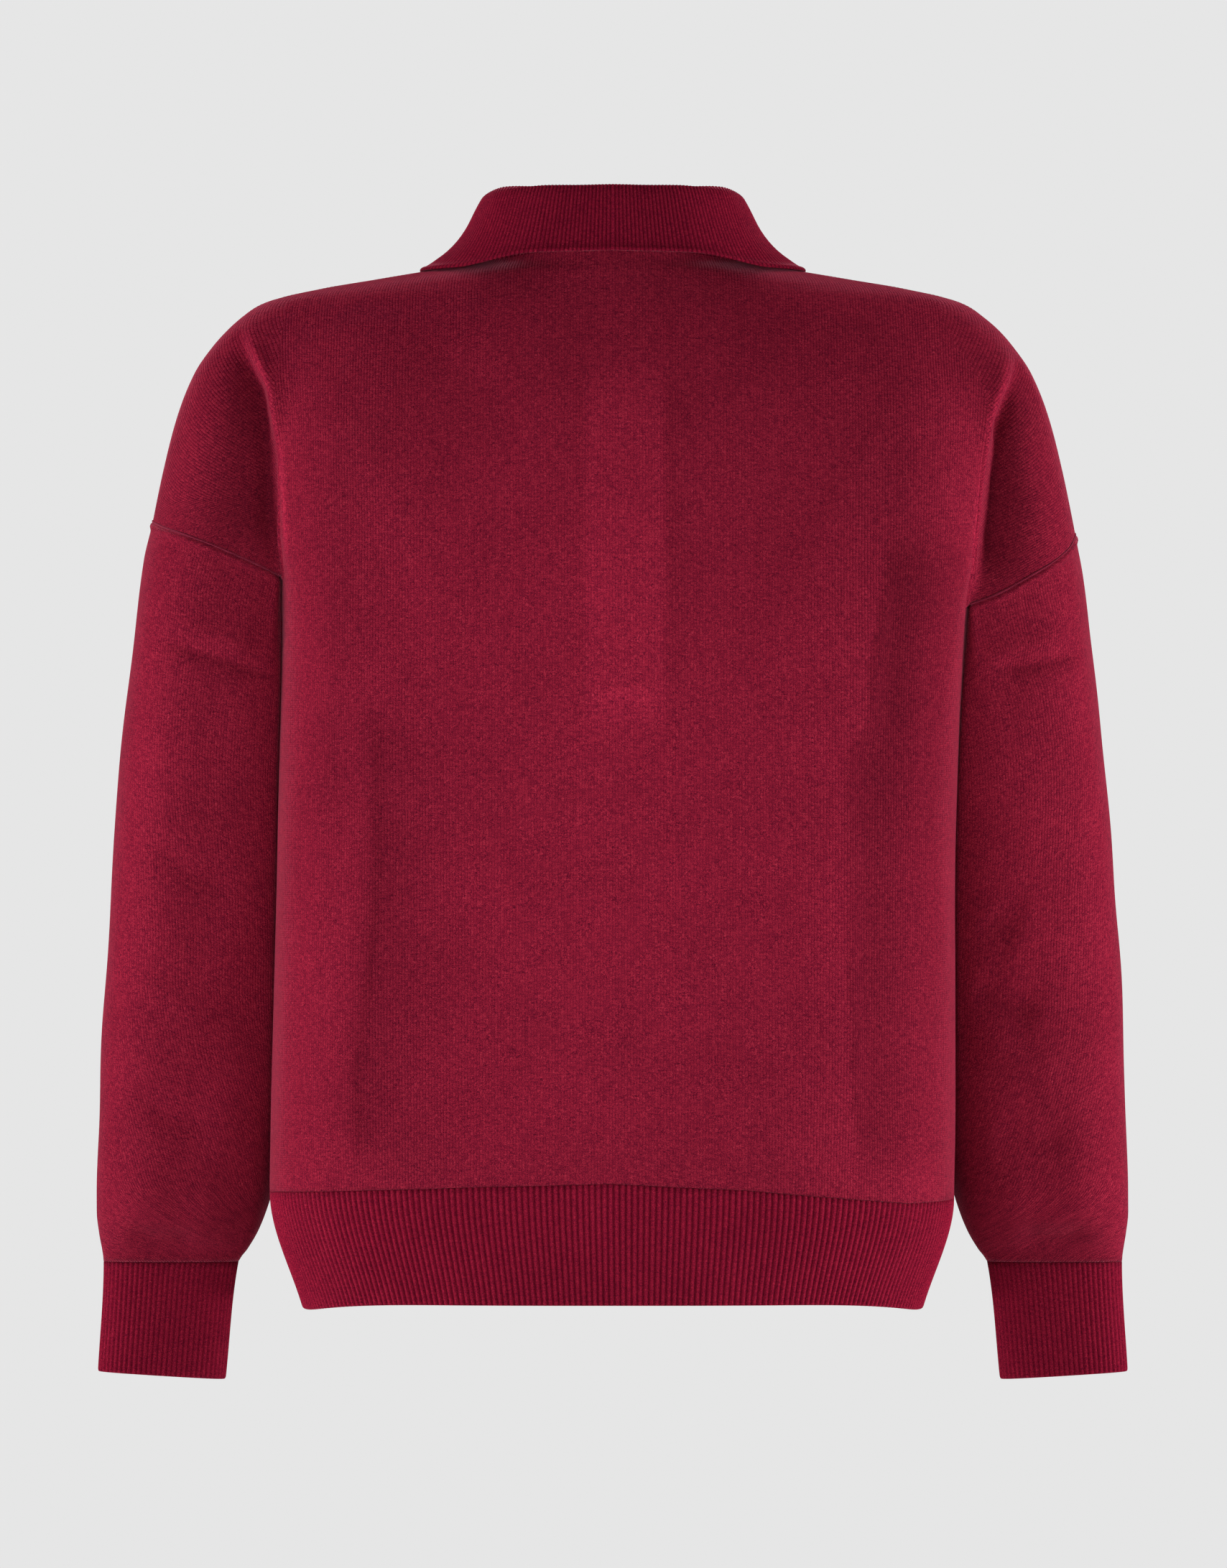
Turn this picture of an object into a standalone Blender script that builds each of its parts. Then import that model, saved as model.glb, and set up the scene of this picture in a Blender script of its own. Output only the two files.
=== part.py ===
"""A long-sleeved polo sweater in fine double knit, hollow and filled out as it is worn.

Metres, +Z up. The front faces -Y and the wearer's left is +X. The origin is the middle of the neck at
the height of the shoulder's neck points, where the garment is carried. Each piece that is knitted and
sewn on is one object: a wall of cloth through sections that are read from the tables below.
"""

import math

import bmesh
import bpy
import numpy as np

MM = 0.001

# ---------------------------------------------------------------- cloth
BODY_WALL = 2.0 * MM
RIB_WALL = 1.7 * MM
RIB_RISE = 0.8 * MM  # the ribs of the hem and cuffs stand this far over their furrows
COLLAR_WALL = 2.2 * MM
COLLAR_RISE = 0.35 * MM
SEAM_GAP = 0.3 * MM

# ---------------------------------------------------------------- body, level sections in mm
HEM_SEAM_Z = -532.5 * MM
HEM_EDGE_Z = -600 * MM
TORSO_COLUMNS = ("z", "lean", "half_width", "back", "front", "squareness")
TORSO = (
    (-600, 0, 179.5, 98, 97, 2.7),
    (-533, 0.5, 198, 112, 110, 2.9),
    (-500, 0, 198, 118, 117, 3.1),
    (-420, -1, 197, 120, 121, 3.4),
    (-340, -2, 196, 120, 123, 3.5),
    (-270, -4, 196.5, 119, 123, 3.5),
    (-217, -6, 198, 117, 120, 3.4),
    (-170, -7.5, 200, 114, 115, 3.2),
    (-130, -7, 202, 109, 108, 3.0),
    (-98, -5, 204, 103, 99, 2.8),
    (-72, -3, 206, 96, 90, 2.6),
    (-50, -1, 207, 88, 81, 2.4),
    (-34, 0, 206, 81, 73, 2.3),
    (-22, 0, 200, 75, 66, 2.2),
    (-14.6, 0, 186, 71, 62, 2.1),
    (-9, 0, 163, 68, 59, 2.0),
    (-5, 0, 138.5, 66, 57, 2.0),
    (-0.8, 0, 113.6, 64, 54, 2.0),
    (4.4, 0, 83, 61, 50, 2.0),
    (10, 0, 76, 58, 46, 2.0),
    (20, 0, 70, 54, 40, 2.0),
)

# ---------------------------------------------------------------- neck and placket
NECK_SIDE_Z = 4.4 * MM
NECK_BACK_Z = 15 * MM
NECK_FRONT_Z = -52 * MM
NECK_BACK_ROUNDNESS = 1.9
NECK_FRONT_ROUNDNESS = 3.4
NECK_ROWS_FROM_Z = -118 * MM  # above this the rows of a panel rise or fall towards the neck edge
SLOT_HALF_WIDTH = 19 * MM
SLOT_END_Z = -246 * MM

# ---------------------------------------------------------------- arm, level sections in mm
ARM_COLUMNS = ("z", "outer", "inner", "forward", "half_depth")
ARM = (
    (-641, 300, 225.5, 49, 19),
    (-575, 296.6, 218, 48, 20),
    (-568, 297.2, 213, 47.5, 27),
    (-558, 298.7, 207, 47, 33),
    (-546, 300, 202, 46, 38),
    (-533, 300, 200.5, 45, 41),
    (-483, 298, 200, 42, 46),
    (-433, 296, 200, 38, 50),
    (-334, 290, 198, 28, 55),
    (-259, 283, 192, 17, 58),
    (-200, 275.5, 181, 5, 60),
    (-171, 271, 174, 1, 60),
    (-144, 266, 168, 0, 60),
    (-115, 260, 164, 0, 59),
    (-84, 252, 160, 0, 56),
    (-59, 242, 156, 0, 51),
    (-40, 229.5, 152, 0, 44),
    (-26, 210, 146, 0, 36),
    (-18, 193, 142, 0, 28),
    (-10, 152, 124, 0, 18),
    (-3, 108, 88, 0, 12),
    (5, 60, 40, 0, 8),
)
ARM_SQUARENESS = 2.3
CREASE_ROUND = (26 * MM, 7 * MM)  # how softly the cap grows out of the torso, at its top and its end
CREASE_ROUND_Z = (-85 * MM, -165 * MM)
CAP_FADE_Z = (-183 * MM, -176 * MM)  # below this the torso's side is free of the arm

# ---------------------------------------------------------------- armhole, at an angle round the arm
ARMHOLE_TOP_Z = -144 * MM  # at the outside, angle 0
ARMHOLE_UNDER_Z = -205 * MM  # under the arm, angle 180
ARMHOLE_BEND = 1.38
ARMHOLE_BACK = (104, 88, 71, 54, 38, 20, 0)
ARMHOLE_UNDER = (124, 144, 162, 180)  # degrees, from the crease on, under the arm
UNDERARM_CLEARANCE = 1.6 * MM
SLEEVE_CLEARANCE = 3.0 * MM

TINY = 1e-6


def read(table, columns, name, at):
    """One column of a table, read between its rows on a smooth curve that never overshoots them."""
    rows = np.array(sorted(table), float)
    knots, values = rows[:, 0], rows[:, columns.index(name)]
    steps = np.diff(knots)
    rises = np.diff(values) / steps
    slopes = np.concatenate([rises[:1], np.zeros(len(rises) - 1), rises[-1:]])
    product = rises[:-1] * rises[1:]
    total = np.where(product > 0, rises[:-1] + rises[1:], 1.0)
    slopes[1:-1] = np.where(product > 0, 2 * product / total, 0.0)
    at = np.clip(at, knots[0], knots[-1])
    cell = np.clip(np.searchsorted(knots, at) - 1, 0, len(steps) - 1)
    part = (at - knots[cell]) / steps[cell]
    start, end = values[cell], values[cell + 1]
    bend_in, bend_out = slopes[cell] * steps[cell], slopes[cell + 1] * steps[cell]
    return (
        (1 + 2 * part) * (1 - part) ** 2 * start
        + part * (1 - part) ** 2 * bend_in
        + part**2 * (3 - 2 * part) * end
        - part**2 * (1 - part) * bend_out
    )


def torso(name, z):
    value = read(TORSO, TORSO_COLUMNS, name, z / MM)
    return value if name == "squareness" else value * MM


def arm(name, z):
    return read(ARM, ARM_COLUMNS, name, z / MM) * MM


def ease(value, start, end):
    """0 before start and 1 after end, with a soft step between."""
    part = np.clip((value - start) / (end - start), 0, 1)
    return part * part * (3 - 2 * part)


def outside(x, y, half_x, half_y, squareness):
    """How far a point lies outside a rounded section, along the ray from the section's middle."""
    ratio = (np.abs(x / half_x) ** squareness + np.abs(y / half_y) ** squareness) ** (1 / squareness)
    return np.hypot(x, y) * (1 - 1 / np.maximum(ratio, TINY))


def outside_body(x, y, z):
    """How far a point lies outside the torso and the two sleeve caps, which grow softly out of it."""
    half_depth = np.where(y > 0, torso("back", z), torso("front", z))
    from_torso = outside(
        x - torso("lean", z), y, torso("half_width", z), half_depth, torso("squareness", z)
    )
    middle = (arm("outer", z) + arm("inner", z)) / 2
    half_width = (arm("outer", z) - arm("inner", z)) / 2
    from_arm = outside(
        np.abs(x) - middle, y + arm("forward", z), half_width, arm("half_depth", z), ARM_SQUARENESS
    )
    from_arm = from_arm + (1 - ease(z, *CAP_FADE_Z))
    soft = CREASE_ROUND[0] + (CREASE_ROUND[1] - CREASE_ROUND[0]) * ease(z, *CREASE_ROUND_Z)
    near = np.maximum(soft - np.abs(from_torso - from_arm), 0) / soft
    return np.minimum(from_torso, from_arm) - near**2 * soft / 4


def body_point(angle, z, side):
    """Where the level ray at this angle from +-X leaves the body for the last time."""
    angle, z = np.broadcast_arrays(np.asarray(angle, float), np.asarray(z, float))
    across, along = side * np.cos(angle), np.sin(angle)
    reach = np.arange(20, 340, 3) * MM
    shape = angle.shape + (1,)
    inside = outside_body(across.reshape(shape) * reach, along.reshape(shape) * reach, z.reshape(shape)) < 0
    last = len(reach) - 1 - np.argmax(inside[..., ::-1], axis=-1)
    low, high = reach[last], reach[np.minimum(last + 1, len(reach) - 1)]
    for _ in range(24):
        middle = (low + high) / 2
        within = outside_body(across * middle, along * middle, z) < 0
        low, high = np.where(within, middle, low), np.where(within, high, middle)
    return np.stack([across * low, along * low, z], axis=-1)


def body_normal(angle, z, side):
    """The outward direction of the body's cloth, from its slopes round and up."""
    turn, rise = math.radians(0.6), 0.6 * MM
    around = body_point(angle + turn, z, side) - body_point(angle - turn, z, side)
    upward = body_point(angle, z + rise, side) - body_point(angle, z - rise, side)
    normal = np.cross(upward, around) * -side
    return normal / np.linalg.norm(normal, axis=-1, keepdims=True)


def armhole_z(turn):
    """Height of the armhole seam at an angle round the arm, from its outside (0) to under it (180)."""
    fall = np.sin(np.radians(np.abs(turn)) / 2) ** (2 * ARMHOLE_BEND)
    return ARMHOLE_TOP_Z + (ARMHOLE_UNDER_Z - ARMHOLE_TOP_Z) * fall


def torso_side(y, z, side):
    """Distance of the torso's side wall from the middle plane."""
    half_depth = np.where(y > 0, torso("back", z), torso("front", z))
    power = torso("squareness", z)
    share = np.clip(1 - np.abs(y / half_depth) ** power, TINY, 1)
    return side * torso("lean", z) + torso("half_width", z) * share ** (1 / power)


def arm_section(turn, z, side, clearance):
    """A point of the sleeve at an angle round the arm, held off the torso's side by the clearance."""
    turn = np.radians(turn)
    middle = (arm("outer", z) + arm("inner", z)) / 2
    half_width = (arm("outer", z) - arm("inner", z)) / 2
    ratio = np.abs(np.cos(turn) / half_width) ** ARM_SQUARENESS
    ratio = ratio + np.abs(np.sin(turn) / arm("half_depth", z)) ** ARM_SQUARENESS
    radius = ratio ** (-1 / ARM_SQUARENESS)
    x, y = middle + radius * np.cos(turn), -arm("forward", z) + radius * np.sin(turn)
    x = np.maximum(x, torso_side(y, z, side) + clearance)
    return np.stack([side * x, y, z + 0 * x], axis=-1)


def arm_angle(turn, z, side):
    """The level angle, seen from the middle of the body, of a point at a turn round the arm."""
    point = arm_section(turn, z, side, -1.0)
    beside = torso_side(point[..., 1], z, side)
    x = np.where(np.abs(turn) > ARMHOLE_BACK[0], beside, side * point[..., 0])
    return np.arctan2(point[..., 1], x)


def neck_z(angle, front):
    """Height of the neck edge at a level angle from the side (0) to the middle (90 degrees)."""
    middle = NECK_FRONT_Z if front else NECK_BACK_Z
    roundness = NECK_FRONT_ROUNDNESS if front else NECK_BACK_ROUNDNESS
    return NECK_SIDE_Z + (middle - NECK_SIDE_Z) * np.sin(angle) ** roundness


# ---------------------------------------------------------------- meshes
def cloth_colour(name, colour, roughness):
    material = bpy.data.materials.new(name)
    material.use_nodes = True
    shader = material.node_tree.nodes["Principled BSDF"]
    shader.inputs["Base Color"].default_value = (*colour, 1)
    shader.inputs["Roughness"].default_value = roughness
    shader.inputs["Metallic"].default_value = 0
    return material


def add_piece(name, points, faces, material):
    """A closed mesh with its faces turned outwards and its curves shaded smooth."""
    mesh = bpy.data.meshes.new(name)
    mesh.from_pydata([tuple(point) for point in points], [], faces)
    shape = bmesh.new()
    shape.from_mesh(mesh)
    bmesh.ops.recalc_face_normals(shape, faces=shape.faces)
    shape.to_mesh(mesh)
    shape.free()
    mesh.materials.append(material)
    mesh.shade_smooth()
    mesh.set_sharp_from_angle(angle=math.radians(40))
    piece = bpy.data.objects.new(name, mesh)
    bpy.context.scene.collection.objects.link(piece)
    return piece


def add_wall(name, outer, inner, sheet, material):
    """Closes a sheet of faces into a wall: outer points, inner points and a strip along every edge."""
    behind = len(outer)
    faces = [face for face in sheet]
    faces += [tuple(corner + behind for corner in reversed(face)) for face in sheet]
    sides = {(a, b) for face in sheet for a, b in zip(face, face[1:] + face[:1])}
    faces += [(b, a, a + behind, b + behind) for a, b in sides if (b, a) not in sides]
    return add_piece(name, np.concatenate([outer, inner]), faces, material)


def grid_faces(numbers, closed=False):
    """Faces between the rows of a grid of point numbers. Corners that share a number make a triangle."""
    turned = np.roll(numbers, -1, axis=1) if closed else numbers[:, 1:]
    start = numbers if closed else numbers[:, :-1]
    corners = np.stack([start[:-1], turned[:-1], turned[1:], start[1:]], axis=-1).reshape(-1, 4)
    faces = [tuple(dict.fromkeys(face)) for face in corners.tolist()]
    return [face for face in faces if len(face) > 2]


# ---------------------------------------------------------------- front and back panels
BELOW_ARM_Z = (-532.5, -495, -440, -380, -320, -265, -215)  # mm, rows of a panel below the crease
SLOT_ROWS_Z = (-246, -210)  # mm, rows of the front in place of the last two
CAP_ROWS = 3  # rows from the armhole's edge up to the level of its top
SHOULDER_Z = (-122, -98, -75, -55, -39, -27, -18, -11, -4, 4.4)  # mm, rows over the shoulder
MIDDLE_ANGLES = (90, 77, 65, 54, 44, 36, 29, 22.5)  # degrees, columns from the middle to the crease
CREASE_STEP = math.radians(1.8)  # from the torso's last column to the crease


def panel_armhole(front, turn, z, side):
    """The level angle of a point at a turn round the arm, counted from the side seam on one panel."""
    signed = -np.asarray(turn, float) if front else np.asarray(turn, float)
    return np.abs(arm_angle(signed, z, side))


def middle_columns(front, crease, rows):
    """Level angles of the columns from the middle to the crease, a row of them for each height."""
    angles = np.append(np.radians(MIDDLE_ANGLES), (crease + CREASE_STEP, crease))
    angles = np.tile(angles, (len(rows), 1))
    if front:
        edge = np.arctan2(torso("front", rows), SLOT_HALF_WIDTH)
        beside_slot = np.arctan2(torso("front", towards_neck(rows, edge, True)), SLOT_HALF_WIDTH)[:, None]
        first, last = angles[:, 1:2].copy(), angles[:, -1:]
        angles[:, 1:] = last + (angles[:, 1:] - last) / (first - last) * (beside_slot - last)
    return angles


def towards_neck(rows, angle, front):
    """Heights of the rows at a level angle: near the top they close in on the neck edge."""
    lift = (neck_z(angle, front) - NECK_ROWS_FROM_Z) / (NECK_SIDE_Z - NECK_ROWS_FROM_Z)
    return np.where(rows > NECK_ROWS_FROM_Z, NECK_ROWS_FROM_Z + (rows - NECK_ROWS_FROM_Z) * lift, rows)


def half_panel(front, side):
    """Angles and heights of three grids of half a panel: its middle, below the arm and over the arm."""
    below = BELOW_ARM_Z[:-2] + SLOT_ROWS_Z if front else BELOW_ARM_Z
    back_turns, under_turns = np.array(ARMHOLE_BACK), np.array(ARMHOLE_UNDER)
    crease_z = armhole_z(ARMHOLE_BACK[0])
    cap = crease_z + (ARMHOLE_TOP_Z - crease_z) * np.arange(CAP_ROWS + 1) / CAP_ROWS
    rows = np.concatenate([np.array(below) * MM, cap, np.array(SHOULDER_Z) * MM])
    crease_row, shoulder_row = len(below), len(below) + CAP_ROWS
    crease = panel_armhole(front, ARMHOLE_BACK[0], crease_z, side)

    middle = middle_columns(front, crease, rows)
    middle_z = towards_neck(rows[:, None], middle, front)

    share = (rows[: crease_row + 1, None] - rows[0]) / (crease_z - rows[0])
    under_z = rows[0] + share * (armhole_z(under_turns) - rows[0])
    edge = panel_armhole(front, under_turns, armhole_z(under_turns), side)
    under = np.tile(edge, (crease_row + 1, 1))

    turns = back_turns[1:]
    share = np.arange(CAP_ROWS + 1)[:, None] / CAP_ROWS
    cap_z = armhole_z(turns) + share * (ARMHOLE_TOP_Z - armhole_z(turns))
    over = panel_armhole(front, turns, cap_z, side)
    above = rows[shoulder_row + 1 :, None] + 0 * over[-1]
    over = np.concatenate([over, np.tile(over[-1], (len(above), 1))])
    over_z = np.concatenate([cap_z, above])
    return (middle, middle_z), (under, under_z), (over, over_z), crease_row


def build_panel(name, front, material):
    """The front or back: a sheet from seam to seam, open at the armholes and the neck."""
    turn = -1 if front else 1
    grids, numbers, count = [], [], 0
    for side in (1, -1):
        *blocks, crease_row = half_panel(front, side)
        for angles, heights in blocks:
            grids.append((angles.ravel(), heights.ravel(), np.full(angles.size, side)))
            numbers.append(np.arange(angles.size).reshape(angles.shape) + count)
            count += angles.size
        middle, under, over = numbers[-3:]
        over[: CAP_ROWS + 1, -1] = over[0, -1]
        numbers[-2] = np.column_stack([middle[: crease_row + 1, -1], under])
        numbers[-1] = np.column_stack([middle[crease_row:, -1], over])
    numbers[3][:, 0] = numbers[0][:, 0]

    angle, z, sides = (np.concatenate(part) for part in zip(*grids))
    outer, inner = np.zeros((count, 3)), np.zeros((count, 3))
    for side in (1, -1):
        chosen = sides == side
        point = body_point(turn * angle[chosen], z[chosen], side)
        outer[chosen] = point
        inner[chosen] = point - BODY_WALL * body_normal(turn * angle[chosen], z[chosen], side)
    for wall in (outer, inner):
        wall[angle < TINY, 1] += turn * SEAM_GAP / 2

    sheet = []
    for place, block in enumerate(numbers):
        if place % 3 == 0:
            slot_row = int(np.argmin(np.abs(z[block[:, 0]] - SLOT_END_Z))) if front else len(block) - 1
            half = grid_faces(block[: slot_row + 1, :2]) + grid_faces(block[:, 1:])
        else:
            half = grid_faces(block)
        sheet += [face[::-1] for face in half] if place >= 3 else half
    used = sorted({corner for face in sheet for corner in face})
    renumber = {old: new for new, old in enumerate(used)}
    sheet = [tuple(renumber[corner] for corner in face) for face in sheet]
    return add_wall(name, outer[used], inner[used], sheet, material)


# ---------------------------------------------------------------- sleeves
SLEEVE_END_Z = -574.7 * MM
SLEEVE_ROWS = (0, 0.05, 0.11, 0.2, 0.31, 0.43, 0.56, 0.69, 0.8, 0.88, 0.925, 0.96, 0.985, 1)
SEAM_BLEND = 0.16  # share of the sleeve's length over which it leaves the armhole's own outline
UNDER_GAP = 1.2 * MM


def build_sleeve(side, material):
    """A tube from the armhole seam down to the cuff, a row of points for each share of its length."""
    half_round = np.array(ARMHOLE_BACK[::-1] + ARMHOLE_UNDER, float)
    turns = np.concatenate([half_round, -half_round[-2:0:-1]])
    under = ease(np.abs(turns), 95, ARMHOLE_BACK[0] + 8)
    top = armhole_z(np.abs(turns))
    edge = body_point(arm_angle(turns, top, side), top, side)
    edge[:, 0] += side * UNDERARM_CLEARANCE * (np.abs(turns) > ARMHOLE_BACK[0])
    start = top - SEAM_GAP * 1.15 - UNDER_GAP * under
    rows = np.array(SLEEVE_ROWS)[:, None]
    z = start + (SLEEVE_END_Z - start) * rows
    clear = UNDERARM_CLEARANCE + (SLEEVE_CLEARANCE - UNDERARM_CLEARANCE) * ease(rows, 0, SEAM_BLEND)
    offset = edge - arm_section(turns, top, side, UNDERARM_CLEARANCE)
    offset[:, 2] = 0

    def surface(turn, height):
        return arm_section(turn, height, side, clear) + offset * (1 - ease(rows, 0, SEAM_BLEND))[..., None]

    outer = surface(turns, z)
    around = surface(turns + 1.0, z) - surface(turns - 1.0, z)
    upward = surface(turns, z + MM) - surface(turns, z - MM)
    normal = np.cross(around, upward) * side
    normal /= np.linalg.norm(normal, axis=-1, keepdims=True)
    inner = outer - BODY_WALL * normal
    numbers = np.arange(z.size).reshape(z.shape)
    name = "sleeve_left" if side > 0 else "sleeve_right"
    sheet = grid_faces(numbers, closed=True)
    return add_wall(name, outer.reshape(-1, 3), inner.reshape(-1, 3), sheet, material)


# ---------------------------------------------------------------- ribbed pieces
def stitch(fine, coarse, closed):
    """Triangles between a row of many points and the row of few points behind it."""
    share = len(fine) // len(coarse) if closed else (len(fine) - 1) // (len(coarse) - 1)
    count = len(coarse)
    faces = []
    for place in range(len(fine) if closed else len(fine) - 1):
        here = (place + share // 2) // share
        after = (place + 1 + share // 2) // share
        near, far = coarse[here % count], coarse[after % count]
        faces.append((fine[place], fine[(place + 1) % len(fine)], near))
        if here != after:
            faces.append((near, fine[(place + 1) % len(fine)], far))
    return faces


def build_ribbed_tube(name, section, heights, ribs, share, material):
    """A tube with a rib at every second outer point, over a plain inside with a point for each share."""
    turns = np.arange(2 * ribs) * 2 * math.pi / (2 * ribs)
    outer_rows, inner_rows = [], []
    for z in heights:
        point = section(turns, z)
        tangent = section(turns + 0.01, z) - section(turns - 0.01, z)
        normal = np.stack([tangent[:, 1], -tangent[:, 0], 0 * tangent[:, 0]], axis=1)
        normal /= np.linalg.norm(normal, axis=1, keepdims=True)
        raised = RIB_RISE * (np.arange(2 * ribs) % 2 == 0)
        outer_rows.append(point + (raised - RIB_RISE)[:, None] * normal)
        inner_rows.append((point - (RIB_RISE + RIB_WALL) * normal)[::share])
    fine = np.arange(len(heights) * 2 * ribs).reshape(len(heights), -1)
    coarse = np.arange(len(heights) * (2 * ribs // share)).reshape(len(heights), -1) + fine.size
    faces = grid_faces(fine, closed=True) + grid_faces(coarse, closed=True)
    faces += stitch(list(fine[0]), list(coarse[0]), True) + stitch(list(fine[-1]), list(coarse[-1]), True)
    return add_piece(name, np.concatenate(outer_rows + inner_rows), faces, material)


HEM_RIBS = 300
HEM_SHARE = 8
CUFF_RIBS = 66
CUFF_SHARE = 4
CUFF_TOP_Z = -575.0 * MM
CUFF_EDGE_Z = -641.0 * MM
CUFF_TILT = 2.3 * MM  # the cuff's edge is this much lower at its inner side than at its middle


def hem_section(turn, z):
    """A level ring of the hem, a rounded rectangle."""
    half_depth = np.where(np.sin(turn) > 0, torso("back", z), torso("front", z))
    power = torso("squareness", z)
    across, through = np.cos(turn) / torso("half_width", z), np.sin(turn) / half_depth
    ratio = np.abs(across) ** power + np.abs(through) ** power
    radius = ratio ** (-1 / power)
    return np.stack([torso("lean", z) + radius * np.cos(turn), radius * np.sin(turn), z + 0 * turn], axis=1)


def spaced(section, z, turns):
    """The section read at even steps along its own length."""
    fine = np.linspace(0, 2 * math.pi, 1441)
    points = section(fine, z)
    length = np.concatenate([[0], np.cumsum(np.linalg.norm(np.diff(points, axis=0), axis=1))])
    return section(np.interp(turns / (2 * math.pi) * length[-1], length, fine), z)


def build_hem(material):
    def section(turns, z):
        return spaced(hem_section, z, turns % (2 * math.pi))

    heights = (HEM_SEAM_Z - SEAM_GAP, HEM_EDGE_Z)
    return build_ribbed_tube("hem_rib", section, heights, HEM_RIBS, HEM_SHARE, material)


def build_cuff(side, material):
    def section(turns, z):
        def ring(turn, height):
            return arm_section(np.degrees(turn), height, side, -1.0)

        points = spaced(ring, z, (side * turns) % (2 * math.pi))
        points[:, 2] += CUFF_TILT * np.cos(turns) * ease(-z, -CUFF_TOP_Z, -CUFF_EDGE_Z)
        return points

    name = "cuff_left" if side > 0 else "cuff_right"
    return build_ribbed_tube(name, section, (CUFF_TOP_Z, CUFF_EDGE_Z), CUFF_RIBS, CUFF_SHARE, material)


# ---------------------------------------------------------------- collar
# The left half of the folded strip, by the turn from the middle of the back: where its fold and its
# free edge lie, and how far the leaf between them hollows.
COLLAR_COLUMNS = ("turn", "fold_x", "fold_y", "fold_z", "edge_x", "edge_y", "edge_z", "hollow", "seat")
COLLAR = (
    (0, 0, 52, 49, 0, 68, 14.5, 1.5, 0.95),
    (30, 38, 47, 48.5, 46, 62, 13, 1.5, 0.95),
    (60, 66, 29, 47, 86, 42, 7.5, 4.5, 1.3),
    (90, 73.5, 2, 43.5, 108, 6, 4.5, 7.5, 1.8),
    (105, 71, -13, 38, 108.5, -18, 4, 6.5, 3.0),
    (120, 66, -28, 30, 105.5, -42, 2, 5, 2.0),
    (150, 38, -55, 4, 84, -80, -34, 3, 1.4),
    (177, 4, -73, -27, 52, -101, -90, 0, 1.1),
)
COLLAR_RIBS = 230
COLLAR_SHARE = 10
COLLAR_END_TURN = 177.0
FOLD_RADIUS = 3.2 * MM


def collar_row(turn, row):
    """A line of the collar's middle surface: its seam edge, stand, fold, leaf or free edge."""
    side = np.where(turn < 0, -1.0, 1.0)

    def value(name):
        return read(COLLAR, COLLAR_COLUMNS, name, np.abs(turn)) * MM

    angle = np.radians(90 - np.abs(turn))
    if row == "seam":
        left, right = (collar_seam(angle, value("seat"), each) for each in (1, -1))
        return np.where(side[:, None] > 0, left, right)
    fold = np.stack([value("fold_x"), value("fold_y"), value("fold_z")], axis=1)
    edge = np.stack([value("edge_x"), value("edge_y"), value("edge_z")], axis=1)
    outward = (edge - fold) * (1, 1, 0)
    outward /= np.linalg.norm(outward, axis=1, keepdims=True)
    up = np.array([0, 0, 1.0])
    if row == "stand":
        point = fold - FOLD_RADIUS * (outward + 1.5 * up)
    elif row == "fold":
        point = fold
    elif row == "leaf":
        point = (fold + FOLD_RADIUS * outward + edge) / 2 - value("hollow")[:, None] * (outward + up) / 1.4
    else:
        point = edge
    return point * np.stack([side, side * side, side * side], axis=1)


def collar_seam(angle, seat, side):
    """The middle of the collar's seam edge, a short way past the middle of the panels' neck edge."""
    z = np.where(angle < 0, neck_z(np.abs(angle), True), neck_z(np.abs(angle), False))
    edge = body_point(angle, z, side)
    rise = body_point(angle, z + MM, side) - edge
    rise /= np.linalg.norm(rise, axis=1, keepdims=True)
    return edge - BODY_WALL / 2 * body_normal(angle, z, side) + seat[:, None] * rise


def build_collar(material):
    """A strip with its long edge on the neck, folded over. The side that shows on the leaf is ribbed."""
    rows = ("seam", "stand", "fold", "leaf", "edge")
    even = np.linspace(-COLLAR_END_TURN, COLLAR_END_TURN, 721)
    length = np.linalg.norm(np.diff(collar_row(even, "fold"), axis=0), axis=1)
    length = np.concatenate([[0], np.cumsum(length)])
    turns = np.interp(np.linspace(0, length[-1], 2 * COLLAR_RIBS + 1), length, even)
    surface = np.stack([collar_row(turns, row) for row in rows])
    along = np.gradient(surface, axis=1)
    across = np.gradient(surface, axis=0)
    normal = np.cross(across, along)
    normal /= np.linalg.norm(normal, axis=2, keepdims=True)
    raised = np.where(np.arange(len(turns)) % 2 == 0, COLLAR_RISE, 0) - COLLAR_RISE
    face = surface + (COLLAR_WALL / 2 + raised[None, :, None]) * normal
    back = (surface - COLLAR_WALL / 2 * normal)[:, ::COLLAR_SHARE]
    plain = (surface + COLLAR_WALL / 2 * normal)[:2, ::COLLAR_SHARE]
    ribbed = face[2:]
    points = np.concatenate([part.reshape(-1, 3) for part in (ribbed, plain, back)])
    fine = np.arange(ribbed[..., 0].size).reshape(ribbed.shape[:2])
    front = np.arange(plain[..., 0].size).reshape(plain.shape[:2]) + fine.size
    behind = np.arange(back[..., 0].size).reshape(back.shape[:2]) + fine.size + front.size
    faces = grid_faces(fine) + grid_faces(front) + grid_faces(behind)
    faces += stitch(list(fine[0]), list(front[-1]), False)
    faces += stitch(list(fine[-1]), list(behind[-1]), False)
    faces += grid_faces(np.stack([front[0], behind[0]]))
    for end in (0, -1):
        shown = np.concatenate([front[:, end], fine[:, end]])
        faces += grid_faces(np.stack([shown, behind[:, end]]))
    return add_piece("collar", points, faces, material)


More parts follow.
